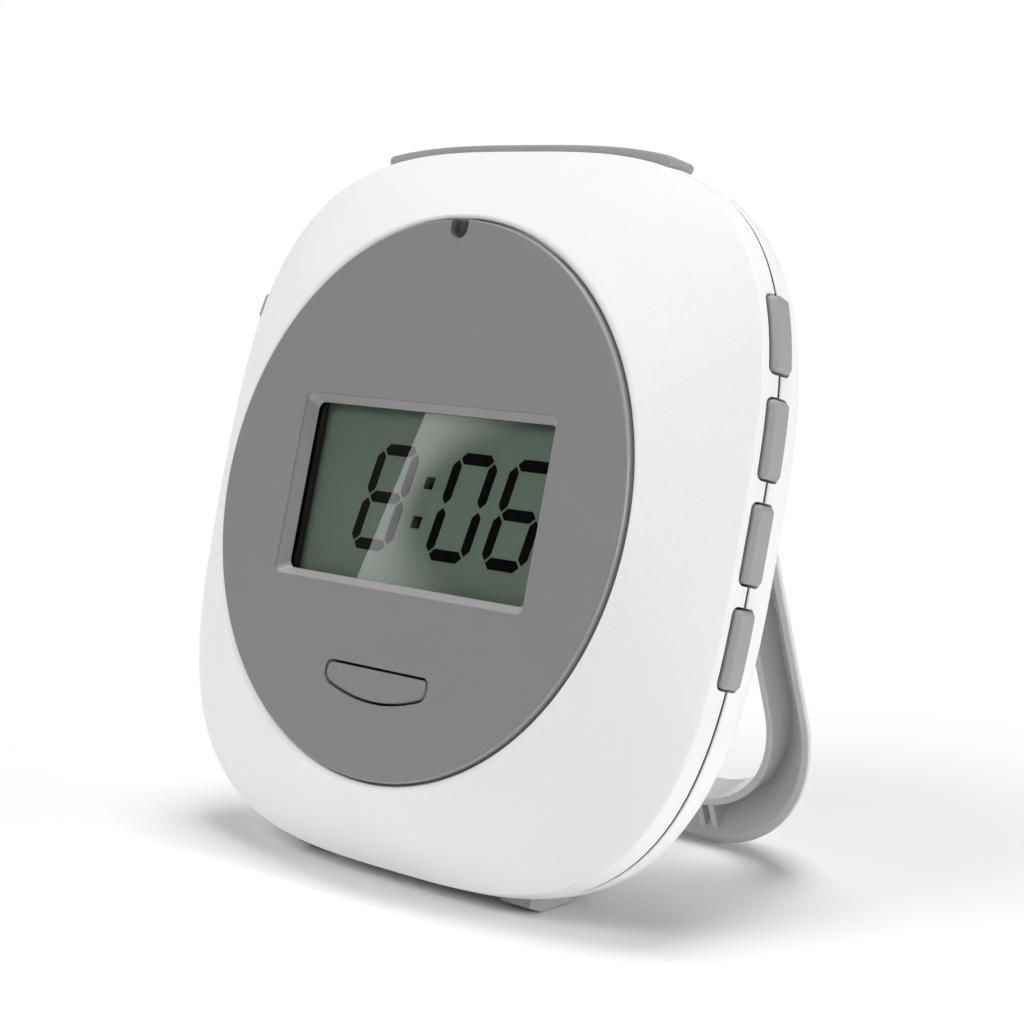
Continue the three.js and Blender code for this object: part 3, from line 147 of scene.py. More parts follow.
# %% Shader helper
class Channel:
    """A value that flows through a material's nodes."""

    def __init__(self, material, socket):
        self.material = material
        self.socket = socket

    def node(self, kind, settings=None, sockets=None, output=0):
        tree = self.material.node_tree
        made = tree.nodes.new(kind)
        for name, value in (settings or {}).items():
            setattr(made, name, value)
        for name, value in (sockets or {}).items():
            if isinstance(value, Channel):
                tree.links.new(value.socket, made.inputs[name])
            else:
                made.inputs[name].default_value = value
        return Channel(self.material, made.outputs[output])

    def maths(self, operation, first, second=0.0):
        return self.node("ShaderNodeMath", {"operation": operation}, {0: first, 1: second})

    def __add__(self, other):
        return self.maths("ADD", self, other)

    def __sub__(self, other):
        return self.maths("SUBTRACT", self, other)

    def __rsub__(self, other):
        return self.maths("SUBTRACT", other, self)

    def __mul__(self, other):
        return self.maths("MULTIPLY", self, other)

    def __abs__(self):
        return self.maths("ABSOLUTE", self)

    def step(self, start, end):
        """0 below start and 1 above end, eased between."""
        sockets = {"Value": self, "From Min": start, "From Max": end}
        return self.node("ShaderNodeMapRange", {"interpolation_type": "SMOOTHSTEP"}, sockets)

    def mix(self, low, high):
        """The colour low where this is 0 and high where it is 1."""
        sockets = {"Factor": self, 6: low, 7: high}
        return self.node("ShaderNodeMix", {"data_type": "RGBA"}, sockets, 2)

    def part(self, axis):
        """One axis of a vector."""
        return self.node("ShaderNodeSeparateXYZ", None, {"Vector": self}, axis)

    def bump(self, distance):
        """A normal that follows this as a height, over a distance in metres."""
        return self.node("ShaderNodeBump", None, {"Distance": distance, "Height": self})


print("shader maths ready")

# %% [markdown]
# ## Starting and ending a material
#
# Every finish starts from the object coordinates, which stay with a piece when it moves, and most end
# in the Principled shader. Noise in the colour, the roughness and the height keeps a surface from
# looking like flat paint.


# %% Material helpers
def start_material(name):
    """The object coordinates of a new, empty material."""
    material = bpy.data.materials.new(name)
    material.use_nodes = True
    material.node_tree.nodes.clear()
    coordinates = material.node_tree.nodes.new("ShaderNodeTexCoord")
    return Channel(material, coordinates.outputs["Object"])


def finished(shader):
    """The material, with this shader sent to its output."""
    tree = shader.material.node_tree
    output = tree.nodes.new("ShaderNodeOutputMaterial")
    tree.links.new(shader.socket, output.inputs["Surface"])
    return shader.material


def principled(colour, rough, normal, more=None):
    """The material, ended in a Principled shader."""
    sockets = {"Base Color": colour, "Roughness": rough, "Normal": normal, **(more or {})}
    return finished(colour.node("ShaderNodeBsdfPrincipled", None, sockets))


def noise(place, size, detail=2.0):
    """Cloudy noise from 0 to 1 with features of about that size in metres."""
    sockets = {"Vector": place, "Scale": 1 / size, "Detail": detail}
    return place.node("ShaderNodeTexNoise", None, sockets)


def rgb(grey, tint=(1, 1, 1)):
    """A colour from a grey and a tint."""
    return (grey * tint[0], grey * tint[1], grey * tint[2], 1)


def upright_place(place):
    """Object coordinates turned to the case's upright axes."""
    turned = place.node("ShaderNodeMapping", {"vector_type": "TEXTURE"}, {"Vector": place})
    turned.socket.node.inputs["Location"].default_value = CASE.to_translation()
    turned.socket.node.inputs["Rotation"].default_value = CASE.to_euler()
    return turned


print("material helpers ready")

# %% [markdown]
# ## Moulded plastic
#
# A moulded case is never one flat colour. The mould was spark-eroded, which leaves a fine grain, the
# plastic flowed in with faint clouds, and fingers polish it unevenly. So the recipe has a slight
# mottle in the colour, a slow change in roughness and a fine bump. On the face panel the edges of rim
# and window are smoother and painted paler, a painted highlight for the light they catch, and the
# notch's walls are left out of it and stay dark.

# %% Plastic recipe
MOTTLE = 0.03
UNEVEN = 0.12
GRAIN_HEIGHT = 0.04


def plastic(name, grey, roughness, tint=(1, 1, 1), grain=0.25 * MM, ior=1.46, painted_highlight_grey=None):
    place = start_material(name)
    cloud = noise(place, 9 * MM, 3.0)
    speck = noise(place, 0.8 * MM, 1.0)
    shade = cloud * 0.7 + speck * 0.3
    colour = shade.mix(rgb(grey * (1 - MOTTLE), tint), rgb(grey * (1 + MOTTLE), tint))
    rough = noise(place, 14 * MM) * UNEVEN + (roughness - UNEVEN / 2)
    # Painted highlight: the rim's and the window's edges, just behind the panel's front, are painted a paler grey
    # for the light they catch; the notch is left out.
    if painted_highlight_grey:
        upright = upright_place(place)
        across, depth, height = [upright.part(axis) for axis in range(3)]
        notch = (1 - abs(across).step(1.6 * MM, 1.9 * MM)) * height.step(29 * MM, 30 * MM)
        edge = depth.step(0.03 * MM, 0.25 * MM) * (1 - notch)
        colour = edge.mix(colour, rgb(painted_highlight_grey, tint))
        rough = rough - edge * 0.15
    normal = noise(place, grain).bump(grain * GRAIN_HEIGHT)
    return principled(colour, rough, normal, {"IOR": ior})


WHITE = plastic("white_plastic", 0.84, 0.5, grain=0.55 * MM)
# The panel's grey, with a painted highlight on its edges, also on the test button.
PANEL_GREY_EDGE_HIGHLIGHT = plastic("panel_grey_painted_edge_highlight", 0.21, 0.48, painted_highlight_grey=0.34)
BUTTON_GREY = plastic("button_grey", 0.325, 0.5)
STAND_GREY = plastic("stand_grey", 0.64, 0.26)
# The feet share the stand's grey slot but get a darker copy of it: painted shade for the shadow under the case.
FOOT_SHADED_GREY = plastic("foot_grey_painted_shade", 0.36, 0.28)
BLACK = plastic("black_plastic", 0.02, 0.45)
# Dark rubber for the conductive strips, also used as painted shade in the gap between the shells.
RUBBER_AND_GAP_SHADE = plastic("rubber_and_painted_gap_shade", 0.03, 0.75)
LEAD_BLACK = plastic("black_sleeve", 0.02, 0.4)
LEAD_RED = plastic("red_sleeve", 0.45, 0.4, tint=(1, 0.07, 0.06))
print("plastics made")

# %% [markdown]
# ## Metals, board and cells
#
# Plated steel has fine lines from rolling, so its roughness follows noise stretched along one axis.
# The circuit board is green lacquer over copper tracks, which show as lighter, raised lines. A cell
# wears a plain dark sleeve with a copper-coloured band at its positive end.


# %% Metal, board and cell recipes
def metal(name, colour, roughness):
    place = start_material(name)
    stretch = place.node("ShaderNodeMapping", None, {"Vector": place, "Scale": (0.08, 1, 1)})
    lines = noise(stretch, 0.3 * MM, 3.0)
    stain = noise(place, 4 * MM, 3.0)
    dull = tuple(0.8 * value for value in colour[:3]) + (1,)
    rough = lines * 0.2 + (roughness - 0.1)
    return principled(stain.mix(dull, colour), rough, lines.bump(0.003 * MM), {"Metallic": 1.0})


def circuit_board(name):
    place = start_material(name)
    settings = {"wave_type": "BANDS", "bands_direction": "X", "wave_profile": "SIN"}
    wander = {"Vector": place, "Scale": 120.0, "Distortion": 9.0, "Detail Scale": 0.4}
    tracks = place.node("ShaderNodeTexWave", settings, wander).step(0.6, 0.75)
    colour = tracks.mix((0.012, 0.11, 0.04, 1), (0.03, 0.2, 0.08, 1))
    return principled(colour, noise(place, 5 * MM) * 0.1 + 0.3, tracks.bump(0.03 * MM))


def cell_sleeve(name, way):
    """A sleeve with its band on the right if way is 1, and on the left if it is -1."""
    place = start_material(name)
    band = (place.part(0) * way).step(12 * MM, 12.1 * MM)
    scuff = noise(place, 2 * MM, 4.0).step(0.62, 0.8)
    colour = band.mix((0.02, 0.02, 0.022, 1), (0.5, 0.24, 0.1, 1))
    rough = scuff * 0.25 + 0.25
    return principled(colour, rough, scuff.bump(0.01 * MM), {"Metallic": band * 0.9})


STEEL = metal("plated_steel", (0.62, 0.62, 0.64, 1), 0.32)
BRASS = metal("brass", (0.72, 0.5, 0.2, 1), 0.35)
BOARD = circuit_board("circuit_board")
print("metals and board made")

# %% [markdown]
# ## The display
#
# Liquid crystal is a grey-green mirror behind glass, with fine vertical grain from its polariser, and
# it turns dark in a band round its edges. The window in front is clear plastic: mostly you look
# through it, and the part that Fresnel's law sends back is a sharp reflection, so it mixes a
# transparent and a glossy shader.


# %% Display and window recipes
def display(name, half_width, half_height):
    place = start_material(name)
    upright = upright_place(place)
    beside = abs(upright.part(0)) - half_width
    above = abs(upright.part(2)) - half_height
    border = place.maths("MAXIMUM", beside, above).step(0.0, 0.15 * MM)
    stretch = place.node("ShaderNodeMapping", None, {"Vector": upright, "Scale": (1, 1, 0.05)})
    grain = noise(stretch, 0.15 * MM) * 0.3 + noise(upright, 12 * MM) * 0.7
    green = grain.mix((0.085, 0.118, 0.087, 1), (0.105, 0.145, 0.108, 1))
    colour = border.mix(green, (0.006, 0.007, 0.006, 1))
    return principled(colour, grain * 0.1 + 0.4, grain.bump(0.002 * MM))


def clear_window(name):
    place = start_material(name)
    smear = noise(place, 10 * MM, 3.0)
    gloss = place.node("ShaderNodeBsdfGlossy", None, {"Roughness": smear * 0.012})
    through = place.node("ShaderNodeBsdfTransparent", None, {"Color": (0.97, 0.98, 0.97, 1)})
    behind = place.node("ShaderNodeNewGeometry", output="Backfacing")
    share = place.node("ShaderNodeFresnel", None, {"IOR": 1.49}) * (1 - behind)
    shader = place.node("ShaderNodeMixShader", None, {0: share, 1: through, 2: gloss})
    return finished(shader)


WINDOW = clear_window("clear_window")
DIGITS = plastic("dark_segments", 0.004, 0.6, ior=1.05)
DISPLAY = display("display", half_width=20.3 * MM, half_height=10.5 * MM)
print("display made")

# %% [markdown]
# ## Blocks and soft edges
#
# Most small pieces start as a block. A mould has no knife-sharp edges, so edges are picked by the way
# they run or the place they are at, and bevelled.

# %% Blocks and edges
WELD = 1e-7


def shift(bm, way):
    """Moves a mesh by a way in metres."""
    bmesh.ops.translate(bm, vec=way, verts=bm.verts)
    return bm


def outwards(bm):
    """Turns all faces outwards."""
    bmesh.ops.recalc_face_normals(bm, faces=bm.faces)


def block(low, high):
    """A box between two corners, in millimetres."""
    bm = bmesh.new()
    bmesh.ops.create_cube(bm, size=1)
    low, high = Vector(low) * MM, Vector(high) * MM
    bmesh.ops.scale(bm, vec=high - low, verts=bm.verts)
    return shift(bm, (low + high) / 2)


def edges_along(bm, axis):
    """Edges that run along an axis."""
    ways = {edge: (edge.verts[1].co - edge.verts[0].co).normalized() for edge in bm.edges}
    return [edge for edge, way in ways.items() if abs(way[axis]) > 0.9999]


def edges_at(bm, axis, place):
    """Edges that lie at a place, in millimetres, on an axis."""
    here = {vertex for vertex in bm.verts if abs(vertex.co[axis] - place * MM) < WELD}
    return [edge for edge in bm.edges if here.issuperset(edge.verts)]


def soften(bm, geom, radius, segments=4, affect="EDGES"):
    """Rounds edges, or the corners of a face, with a radius in millimetres."""
    shape = {"offset": radius * MM, "segments": segments, "profile": 0.5, "material": -1}
    bmesh.ops.bevel(bm, geom=geom, affect=affect, clamp_overlap=affect == "EDGES", **shape)
    return bm


print("points closer than", WELD, "m count as one")

# %% [markdown]
# ## Drawing, slicing and spinning
#
# Drawing out a face makes a bar, and spinning a profile makes anything round. A piece that has to
# bend is cut into slices first, because a mesh bends only where it has vertices.


# %% Drawing, slicing and spinning
def flat(points):
    """A mesh of one face, from points in metres, and that face."""
    bm = bmesh.new()
    return bm, bm.faces.new([bm.verts.new(point) for point in points])


def draw(bm, face, way):
    """Draws a face out, by a way in millimetres, and gives its new end."""
    made = bmesh.ops.extrude_face_region(bm, geom=[face])["geom"]
    moving = [item for item in made if isinstance(item, bmesh.types.BMVert)]
    bmesh.ops.translate(bm, vec=Vector(way) * MM, verts=moving)
    return next(item for item in made if isinstance(item, bmesh.types.BMFace))


def slices(bm, axis, count):
    """Cuts a mesh across an axis so that it can bend."""
    places = [vertex.co[axis] for vertex in bm.verts]
    low, high = min(places), max(places)
    normal = Vector([float(i == axis) for i in range(3)])
    for i in range(1, count):
        everything = bm.verts[:] + bm.edges[:] + bm.faces[:]
        cut_at = normal * (low + (high - low) * i / count)
        bmesh.ops.bisect_plane(bm, geom=everything, plane_co=cut_at, plane_no=normal)
    return bm


def spun(profile, steps=192, centre=(0, 0, 0)):
    """Spins a profile of (radius, depth) points in millimetres round the clock's axis."""
    bm = bmesh.new()
    points = [bm.verts.new((radius * MM, depth * MM, 0)) for radius, depth in profile]
    edges = [bm.edges.new(pair) for pair in zip(points, points[1:])]
    turn = {"axis": (0, 1, 0), "angle": math.tau, "steps": steps, "use_merge": True}
    bmesh.ops.spin(bm, geom=points + edges, **turn)
    bmesh.ops.remove_doubles(bm, verts=bm.verts, dist=WELD)
    return shift(bm, Vector(centre) * MM)


def arc(centre, radius, start, end, steps):
    """Points on an arc, with angles in degrees."""
    turns = [math.radians(start + (end - start) * i / steps) for i in range(steps + 1)]
    x, y = centre
    return [(x + radius * math.cos(turn), y + radius * math.sin(turn)) for turn in turns]


print("shaping tools ready")

# %% [markdown]
# ## Cutting and joining
#
# Holes are cut and lumps joined on by Boolean modifiers, and the result is read back as a mesh. The
# exact solver copes with faces that lie in one plane, which a clock has many of.


# %% Cutting and joining
def to_object(name, bm):
    """Puts a mesh into the scene as an object."""
    mesh = bpy.data.meshes.new(name)
    bm.to_mesh(mesh)
    bm.free()
    made = bpy.data.objects.new(name, mesh)
    bpy.context.collection.objects.link(made)
    return made


def combined(base, operation, *tools):
    """A mesh with others cut from it or joined to it."""
    shapes = []
    for bm in (base, *tools):
        bmesh.ops.remove_doubles(bm, verts=bm.verts, dist=WELD)
        outwards(bm)
        shapes.append(to_object("shape", bm))
    for tool in shapes[1:]:
        modifier = shapes[0].modifiers.new("combine", "BOOLEAN")
        modifier.operation = operation
        modifier.solver = "EXACT"
        modifier.object = tool
    result = bmesh.new()
    result.from_object(shapes[0], bpy.context.evaluated_depsgraph_get())
    for shape in shapes:
        bpy.data.objects.remove(shape)
    return result


print("cutting tools ready")

# %% [markdown]
# ## Finishing a piece
#
# `piece` leans a mesh back with the case, marks its sharp edges, gives it its material, ties it to the
# body it moves with and hides the CAD node it takes the place of. Weighted normals keep flat faces
# flat in the light.


# %% Finishing a piece
def piece(name, bm, body, slot, material, *replaced, sharp=35, place=None):
    """Finishes a mesh and ties it to the frame."""
    bmesh.ops.remove_doubles(bm, verts=bm.verts, dist=WELD)
    bmesh.ops.dissolve_degenerate(bm, edges=bm.edges, dist=WELD)
    outwards(bm)
    bm.transform(CASE if place is None else place)
    for face in bm.faces:
        face.smooth = True
    for edge in bm.edges:
        edge.smooth = edge.calc_face_angle(0) < math.radians(sharp)
    made = to_object(name, bm)
    made.data.materials.append(material)
    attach(made, body)
    if replaced:
        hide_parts(*replaced)
    even = made.modifiers.new("even_shading", "WEIGHTED_NORMAL")
    even.keep_sharp = True
    print(name, "faces:", len(made.data.polygons))


print("finishing ready")

# %% [markdown]
# ## The case's outline
#
# Seen from the front, the case is a squared circle: `|x|^n + |z|^n = half^n`. With n = 2 that is a
# circle, and with a larger n the sides flatten. The dome is a true circle round the panel and squarer
# towards the edge, so each vertex moves along its own direction by the n of its radius.

# %% Outline
GAP = 0.3
WALL = 1.8
SQUARENESS = 3.25
HALF = -upright_box("front_shell")[0].x / MM
RIM = PANEL_RADIUS / MM + GAP
EDGE = HALF - 0.45
FRONT_END = upright_box("front_shell")[1].y / MM
REAR_START = FRONT_END + GAP
DEPTH = upright_box("battery_door")[1].y / MM
PARTING = (FRONT_END + REAR_START) / 2


def squared(bm):
    """Squares off a spun mesh, more towards the edge of the case."""
    for vertex in bm.verts:
        radius = math.hypot(vertex.co.x, vertex.co.z)
        if radius > 1e-6:
            share = min(1, max(0, (radius / MM - RIM) / (EDGE - RIM)))
            power = 2 + (SQUARENESS - 2) * share
            size = (abs(vertex.co.x) ** power + abs(vertex.co.z) ** power) ** (1 / power)
            vertex.co.x *= radius / size
            vertex.co.z *= radius / size
    return bm


print("case half width:", round(HALF, 2), "depth:", round(DEPTH, 2))

# %% [markdown]
# ## Following the outline
#
# The buttons and the snooze bar follow the case's curve. They are modelled straight, and then each
# vertex is moved so that the length runs along the curve.


# %% Bending to the outline
def on_side(height):
    """The outline's right-hand point at a height in millimetres, and the way out from there."""
    x = (HALF**SQUARENESS - abs(height) ** SQUARENESS) ** (1 / SQUARENESS)
    lean = math.copysign(abs(height) ** (SQUARENESS - 1), height)
    return Vector((x, 0, height)), Vector((x ** (SQUARENESS - 1), 0, lean)).normalized()


def on_top(angle, half):
    """The outline's point at an angle from the top."""
    sine, cosine = math.sin(angle), math.cos(angle)
    size = (abs(sine) ** SQUARENESS + abs(cosine) ** SQUARENESS) ** (1 / SQUARENESS)
    return Vector((sine, 0, cosine)) * (half / size)


def bend_to_side(bm, height, side):
    """Bends a piece, made with x outwards and z along, to the case's side at a height."""
    slope = on_side(height)[1].x
    for vertex in bm.verts:
        out, depth, along = vertex.co / MM
        point, normal = on_side(height + along * slope)
        point += normal * out
        vertex.co = Vector((side * point.x, PARTING + depth, point.z)) * MM
    return bm


def bend_to_top(bm):
    """Bends a piece, made with x along and z outwards, over the top of the case."""
    for vertex in bm.verts:
        along, depth, out = vertex.co / MM
        point = on_top(along / HALF, HALF + out)
        vertex.co = Vector((point.x, PARTING + depth, point.z)) * MM
    return bm


print("half width at half height:", round(on_side(HALF / 2)[0].x, 2))

# %% [markdown]
# ## Side buttons
#
# Four grey buttons sit over the line where the shells meet. Each is a block with rounded corners and
# a small chamfer. The same block, a little larger, makes its hole, so the holes' measures are kept in
# a list.

# %% Side buttons
BUTTON_LENGTH = 8.75
BUTTON_WIDTH = 3.2
BUTTON_TOP = 0.54 * HALF
BUTTON_PITCH = 0.262 * HALF


def key(length, width, corner, low, high, edge=0):
    """A block with rounded corners that runs along z and rises from low to high along x."""
    bm = block((low, -width / 2, -length / 2), (high, width / 2, length / 2))
    soften(bm, edges_along(bm, 0), corner, 6)
    if edge:
        soften(bm, edges_at(bm, 0, high), edge, 1)
        soften(bm, edges_at(bm, 0, high) + edges_at(bm, 0, high - edge), 0.08, 2)
    return slices(bm, 2, 14)


side_holes = []
for index in range(4):
    name = f"side_button_{index + 1}"
    body = f"button_{index + 1}"
    height = BUTTON_TOP - BUTTON_PITCH * index
    cap = key(BUTTON_LENGTH, BUTTON_WIDTH, corner=0.6, low=-2.6, high=0.7, edge=0.5)
    bend_to_side(cap, height, 1)
    piece(f"{name}_cap", cap, body, "grey_buttons", BUTTON_GREY, name)
    side_holes.append((BUTTON_LENGTH + 2 * GAP, BUTTON_WIDTH + 2 * GAP, 0.9, height, 1))

# %% [markdown]
# ## The snooze bar
#
# The snooze bar is large, so that a sleepy hand finds it: a long block over the top of the case with
# rounded ends. It rises with the fourth power of the way along, which lifts the ends and keeps the
# middle flat.

# %% Snooze bar
SNOOZE_HALF = math.radians(29) * HALF
SNOOZE_SIDE = 2.2
SNOOZE_RISE = 0.35


def long_bar(grow, low, high):
    """The snooze bar, or its hole: a long block that runs along x."""
    half, side = SNOOZE_HALF + grow, SNOOZE_SIDE + grow
    return block((-half, -side, low), (half, side, high))


bar = long_bar(0, -2.4, 0.75)
soften(bar, [edge for edge in edges_along(bar, 1) if edge.verts[0].co.z > 0], 0.8, 5)
upper = [edge for edge in bar.edges if max(vertex.co.z for vertex in edge.verts) > 0]
soften(bar, [edge for edge in upper if edge.calc_face_angle(0) > 0.5], 0.25, 3)
slices(bar, 0, 48)
for vertex in bar.verts:
    if vertex.co.z > 0:
        vertex.co.z += SNOOZE_RISE * MM * (vertex.co.x / MM / SNOOZE_HALF) ** 4
piece("snooze_bar_cap", bend_to_top(bar), "snooze", "grey_buttons", BUTTON_GREY, "snooze_bar")

# %% [markdown]
# ## Slide knobs
#
# Two knobs on the left slide in slots. Three grooves give a grip, and a wide shutter inside the case
# covers the slot wherever the knob stands. The table gives each knob's height, its travel, how far it
# stands out and the end it starts from.

# %% Slide knobs
KNOB_LENGTH = 3.4
KNOB_WIDTH = 2.8
knob_places = {"alarm": (0.476 * HALF, 4, 2.2, 1), "time": (-0.325 * HALF, 2, 1.4, -1)}
for name, (height, travel, proud, start) in knob_places.items():
    knob = key(KNOB_LENGTH, KNOB_WIDTH, corner=0.7, low=-2.4, high=proud, edge=0.3)
    grooves = []
    for z in (-0.8, 0, 0.8):
        grooves.append(block((proud - 0.35, -0.9, z - 0.16), (proud + 1, 0.9, z + 0.16)))
    knob = combined(knob, "DIFFERENCE", *grooves)
    shutter = key(KNOB_LENGTH + 2 * travel + 1, 4.2, corner=0.5, low=-2.8, high=-2.2)
    knob = combined(knob, "UNION", shutter)
    shift(knob, (0, 0, start * travel / 2 * MM))
    bend_to_side(knob, height, -1)
    piece(f"{name}_knob_cap", knob, f"{name}_slider", "grey_buttons", BUTTON_GREY, f"{name}_knob")
    side_holes.append((KNOB_LENGTH + travel + 2 * GAP, KNOB_WIDTH + 2 * GAP, 1.0, height, -1))


def new_holes():
    """The holes for buttons, bar and knobs, made afresh since a Boolean uses up its tools."""
    made = [bend_to_side(key(*size, -4, 4), height, side) for *size, height, side in side_holes]
    return made + [bend_to_top(slices(long_bar(GAP, -4, 4), 0, 48))]


# %% [markdown]
# ## The front shell
#
# The front shell is a ring. Its section runs up the wall beside the panel, over a soft lip, down a
# dome that gets steadily steeper, round the edge to the parting line, and back inside the wall. It is
# spun once round and then squared off.

# %% Front shell
RIM_DEPTH = 0.3
RIM_SLOPE = 31
EDGE_DEPTH = 7.55
LIP = 0.4
CHAMFER = 0.15
LEDGE = 1.8
LEDGE_RADIUS = 28.4


def dome_section():
    """The outside of the section, from the lip to the parting line."""
    run, drop = EDGE - RIM, EDGE_DEPTH - RIM_DEPTH
    first = math.radians(RIM_SLOPE)
    last = 2 * math.atan2(drop, run) - first
    radius = run / (math.sin(last) - math.sin(first))
    lip_depth = RIM_DEPTH + LIP * math.tan(first) + LIP / math.cos(first)
    points = arc((RIM + LIP, lip_depth), LIP, 180, 270 + RIM_SLOPE, 8)
    begin = math.asin(math.sin(first) + (points[-1][0] - RIM + 0.15) / radius)
    for i in range(17):
        slope = begin + (last - begin) * i / 16
        across = RIM + radius * (math.sin(slope) - math.sin(first))
        points.append((across, RIM_DEPTH + radius * (math.cos(first) - math.cos(slope))))
    turn, side = Vector((HALF - 0.26, EDGE_DEPTH + 0.17)), Vector((HALF, FRONT_END - CHAMFER))
    last_point, after = Vector(points[-1]), turn + (side - turn) * 0.12
    for i in range(1, 7):
        t = i / 6
        points.append(tuple((1 - t) ** 2 * last_point + 2 * t * (1 - t) * turn + t * t * after))
    return points + [tuple(side)]


inside = [(HALF - WALL, FRONT_END), (HALF - WALL, 9), (EDGE - 2.6, 7.6), (RIM + 2, 3.6)]
inside += [(LEDGE_RADIUS, 3.3), (LEDGE_RADIUS, LEDGE), (RIM, LEDGE)]
section = [(RIM, LEDGE)] + dome_section() + [(HALF - CHAMFER, FRONT_END)] + inside
front = squared(spun(section))
sound_hole = block((-2, 1, RIM - 4), (2, 6, RIM - 0.05))
front = combined(front, "DIFFERENCE", sound_hole, *new_holes())
piece("front_shell_skin", front, "case", "white_case", WHITE, "front_shell")

# %% [markdown]
# ## Measures of the back
#
# The photograph doesn't show the back, so its shapes follow the CAD frame: the boxes of the battery
# door, the screws and the hinge pins say where openings and lugs have to be.

# %% Measures of the back
door_low, door_high = box_mm("battery_door")
ROUND = DEPTH - REAR_START
BAY_HALF = 25.25
BAY_MARGIN = 2.3
screw_places = []
for index in range(1, 5):
    low, high = upright_box(f"case_screw_{index}")
    screw_places.append(((low.x + high.x) / 2 / MM, high.y / MM, (low.z + high.z) / 2 / MM))
lug_low, lug_high = box_mm("stand_pin_right")
hinge_depth = (lug_low.y + lug_high.y) / 2
hinge_height = (lug_low.z + lug_high.z) / 2
LUG_WIDTH = 4.4
LUG_RADIUS = 2.8
LUG = (lug_low.x, lug_low.x + LUG_WIDTH)
KNUCKLE = (LUG[1] + GAP, LUG[1] + GAP + LUG_WIDTH)


def rod_across(radius, reach, depth, height):
    """A rod that runs along x."""
    bm = bmesh.new()
    shape = {"segments": 40, "radius1": radius * MM, "radius2": radius * MM, "cap_ends": True}
    turn = Matrix.Rotation(math.pi / 2, 4, "Y")
    bmesh.ops.create_cone(bm, depth=(reach[1] - reach[0]) * MM, matrix=turn, **shape)
    return shift(bm, Vector(((reach[0] + reach[1]) / 2, depth, height)) * MM)


def thumb_dish(radius, floor):
    """A shallow dish at the battery door's upper edge."""
    profile = [(0, floor), (3.2, floor), (radius, DEPTH + 0.3), (radius, DEPTH + 1), (0, DEPTH + 1)]
    return spun(profile, 48, centre=(0, 0, door_high.z))


print("screws:", len(screw_places), "and hinge height:", round(hinge_height, 2))

# %% [markdown]
# ## The rear shell
#
# The back is a flat disc that rounds over into the sides. From it are cut the battery door's rebate
# with its thumb rest, the bay, four screw wells and the button holes. Two lugs for the stand's hinge
# are joined on.

# %% Rear shell
back = arc((HALF - ROUND, REAR_START), ROUND, 1, 90, 18)
hollow = arc((HALF - ROUND, REAR_START), ROUND - WALL, 90, 0, 12)
section = [(0, DEPTH)] + back[::-1] + [(HALF - CHAMFER, REAR_START)]
section += hollow[::-1] + [(0, DEPTH - WALL)]
rear = squared(spun(section))
rebate_low = (door_low.x - GAP, door_low.y - 0.1, door_low.z - GAP)
rebate_high = (door_high.x + GAP, DEPTH + 1, door_high.z + GAP)
rebate = block(rebate_low, rebate_high)
soften(rebate, edges_along(rebate, 1), 1.3, 6)
bay_low = (-BAY_HALF, 8.5, door_low.z + BAY_MARGIN)
bay = block(bay_low, (BAY_HALF, DEPTH + 1, door_high.z - BAY_MARGIN))
wells = []
for x, depth, z in screw_places:
    well = [(0, depth - 3), (2.5, depth - 3), (2.5, DEPTH + 3), (0, DEPTH + 3)]
    wells.append(spun(well, 32, centre=(x, 0, z)))
thumb = thumb_dish(5, DEPTH - 1.0)
rear = combined(rear, "DIFFERENCE", rebate, bay, thumb, *wells, *new_holes())
lugs = []
for side in (-1, 1):
    reach = sorted((side * LUG[0], side * LUG[1]))
    eye_of_lug = rod_across(LUG_RADIUS, reach, hinge_depth, hinge_height)
    root_low = (reach[0], DEPTH - 1, hinge_height - LUG_RADIUS)
    root_high = (reach[1], hinge_depth, hinge_height + LUG_RADIUS)
    lugs.append(combined(eye_of_lug, "UNION", block(root_low, root_high)))
rear = combined(rear, "UNION", *lugs)
piece("rear_shell_skin", rear, "case", "white_case", WHITE, "rear_shell")

# %% [markdown]
# ## Battery bay and parting line
#
# The cells lie in a white tub, a block with a smaller block taken out. A dark ring lies a little back
# in the gap between the shells, painted shade that stands in for the gap's shadow, so that the
# parting line reads as a line all the way round.

# %% Battery bay and parting line's painted shade
tub_high = (BAY_HALF + 1, door_low.y - 0.2, door_high.z - 1.3)
tub = block((-BAY_HALF - 1, 8.2, door_low.z + 1.3), tub_high)
room_low = (-BAY_HALF, 9.1, door_low.z + BAY_MARGIN)
room = block(room_low, (BAY_HALF, DEPTH, door_high.z - BAY_MARGIN))
piece("battery_bay", combined(tub, "DIFFERENCE", room), "case", "white_case", WHITE)

# Painted shade: a dark ring set back in the gap between the shells stands in for the gap's shadow.
SHADE_RING_INNER = HALF - 1.5
SHADE_RING_OUTER = HALF - 0.08
shade_ring_section = [(SHADE_RING_INNER, FRONT_END + 0.02), (SHADE_RING_OUTER, FRONT_END + 0.02)]
shade_ring_section += [(SHADE_RING_OUTER, REAR_START - 0.02), (SHADE_RING_INNER, REAR_START - 0.02)]
ring = combined(squared(spun(shade_ring_section + shade_ring_section[:1])), "DIFFERENCE", *new_holes())
piece("parting_shade_ring", ring, "case", "conductive_rubber", RUBBER_AND_GAP_SHADE)

# %% [markdown]
# ## Outlines made into plates
#
# The test button is flat on top and bowed below. Its outline serves twice: as it is for the button,
# and grown by the gap for its hole. A flat face drawn backwards makes either.

# %% Outlines and plates
TEST_TOP = -0.616 * PANEL_RADIUS / MM
TEST_HALF = 8.6
TEST_BOW = 1.7


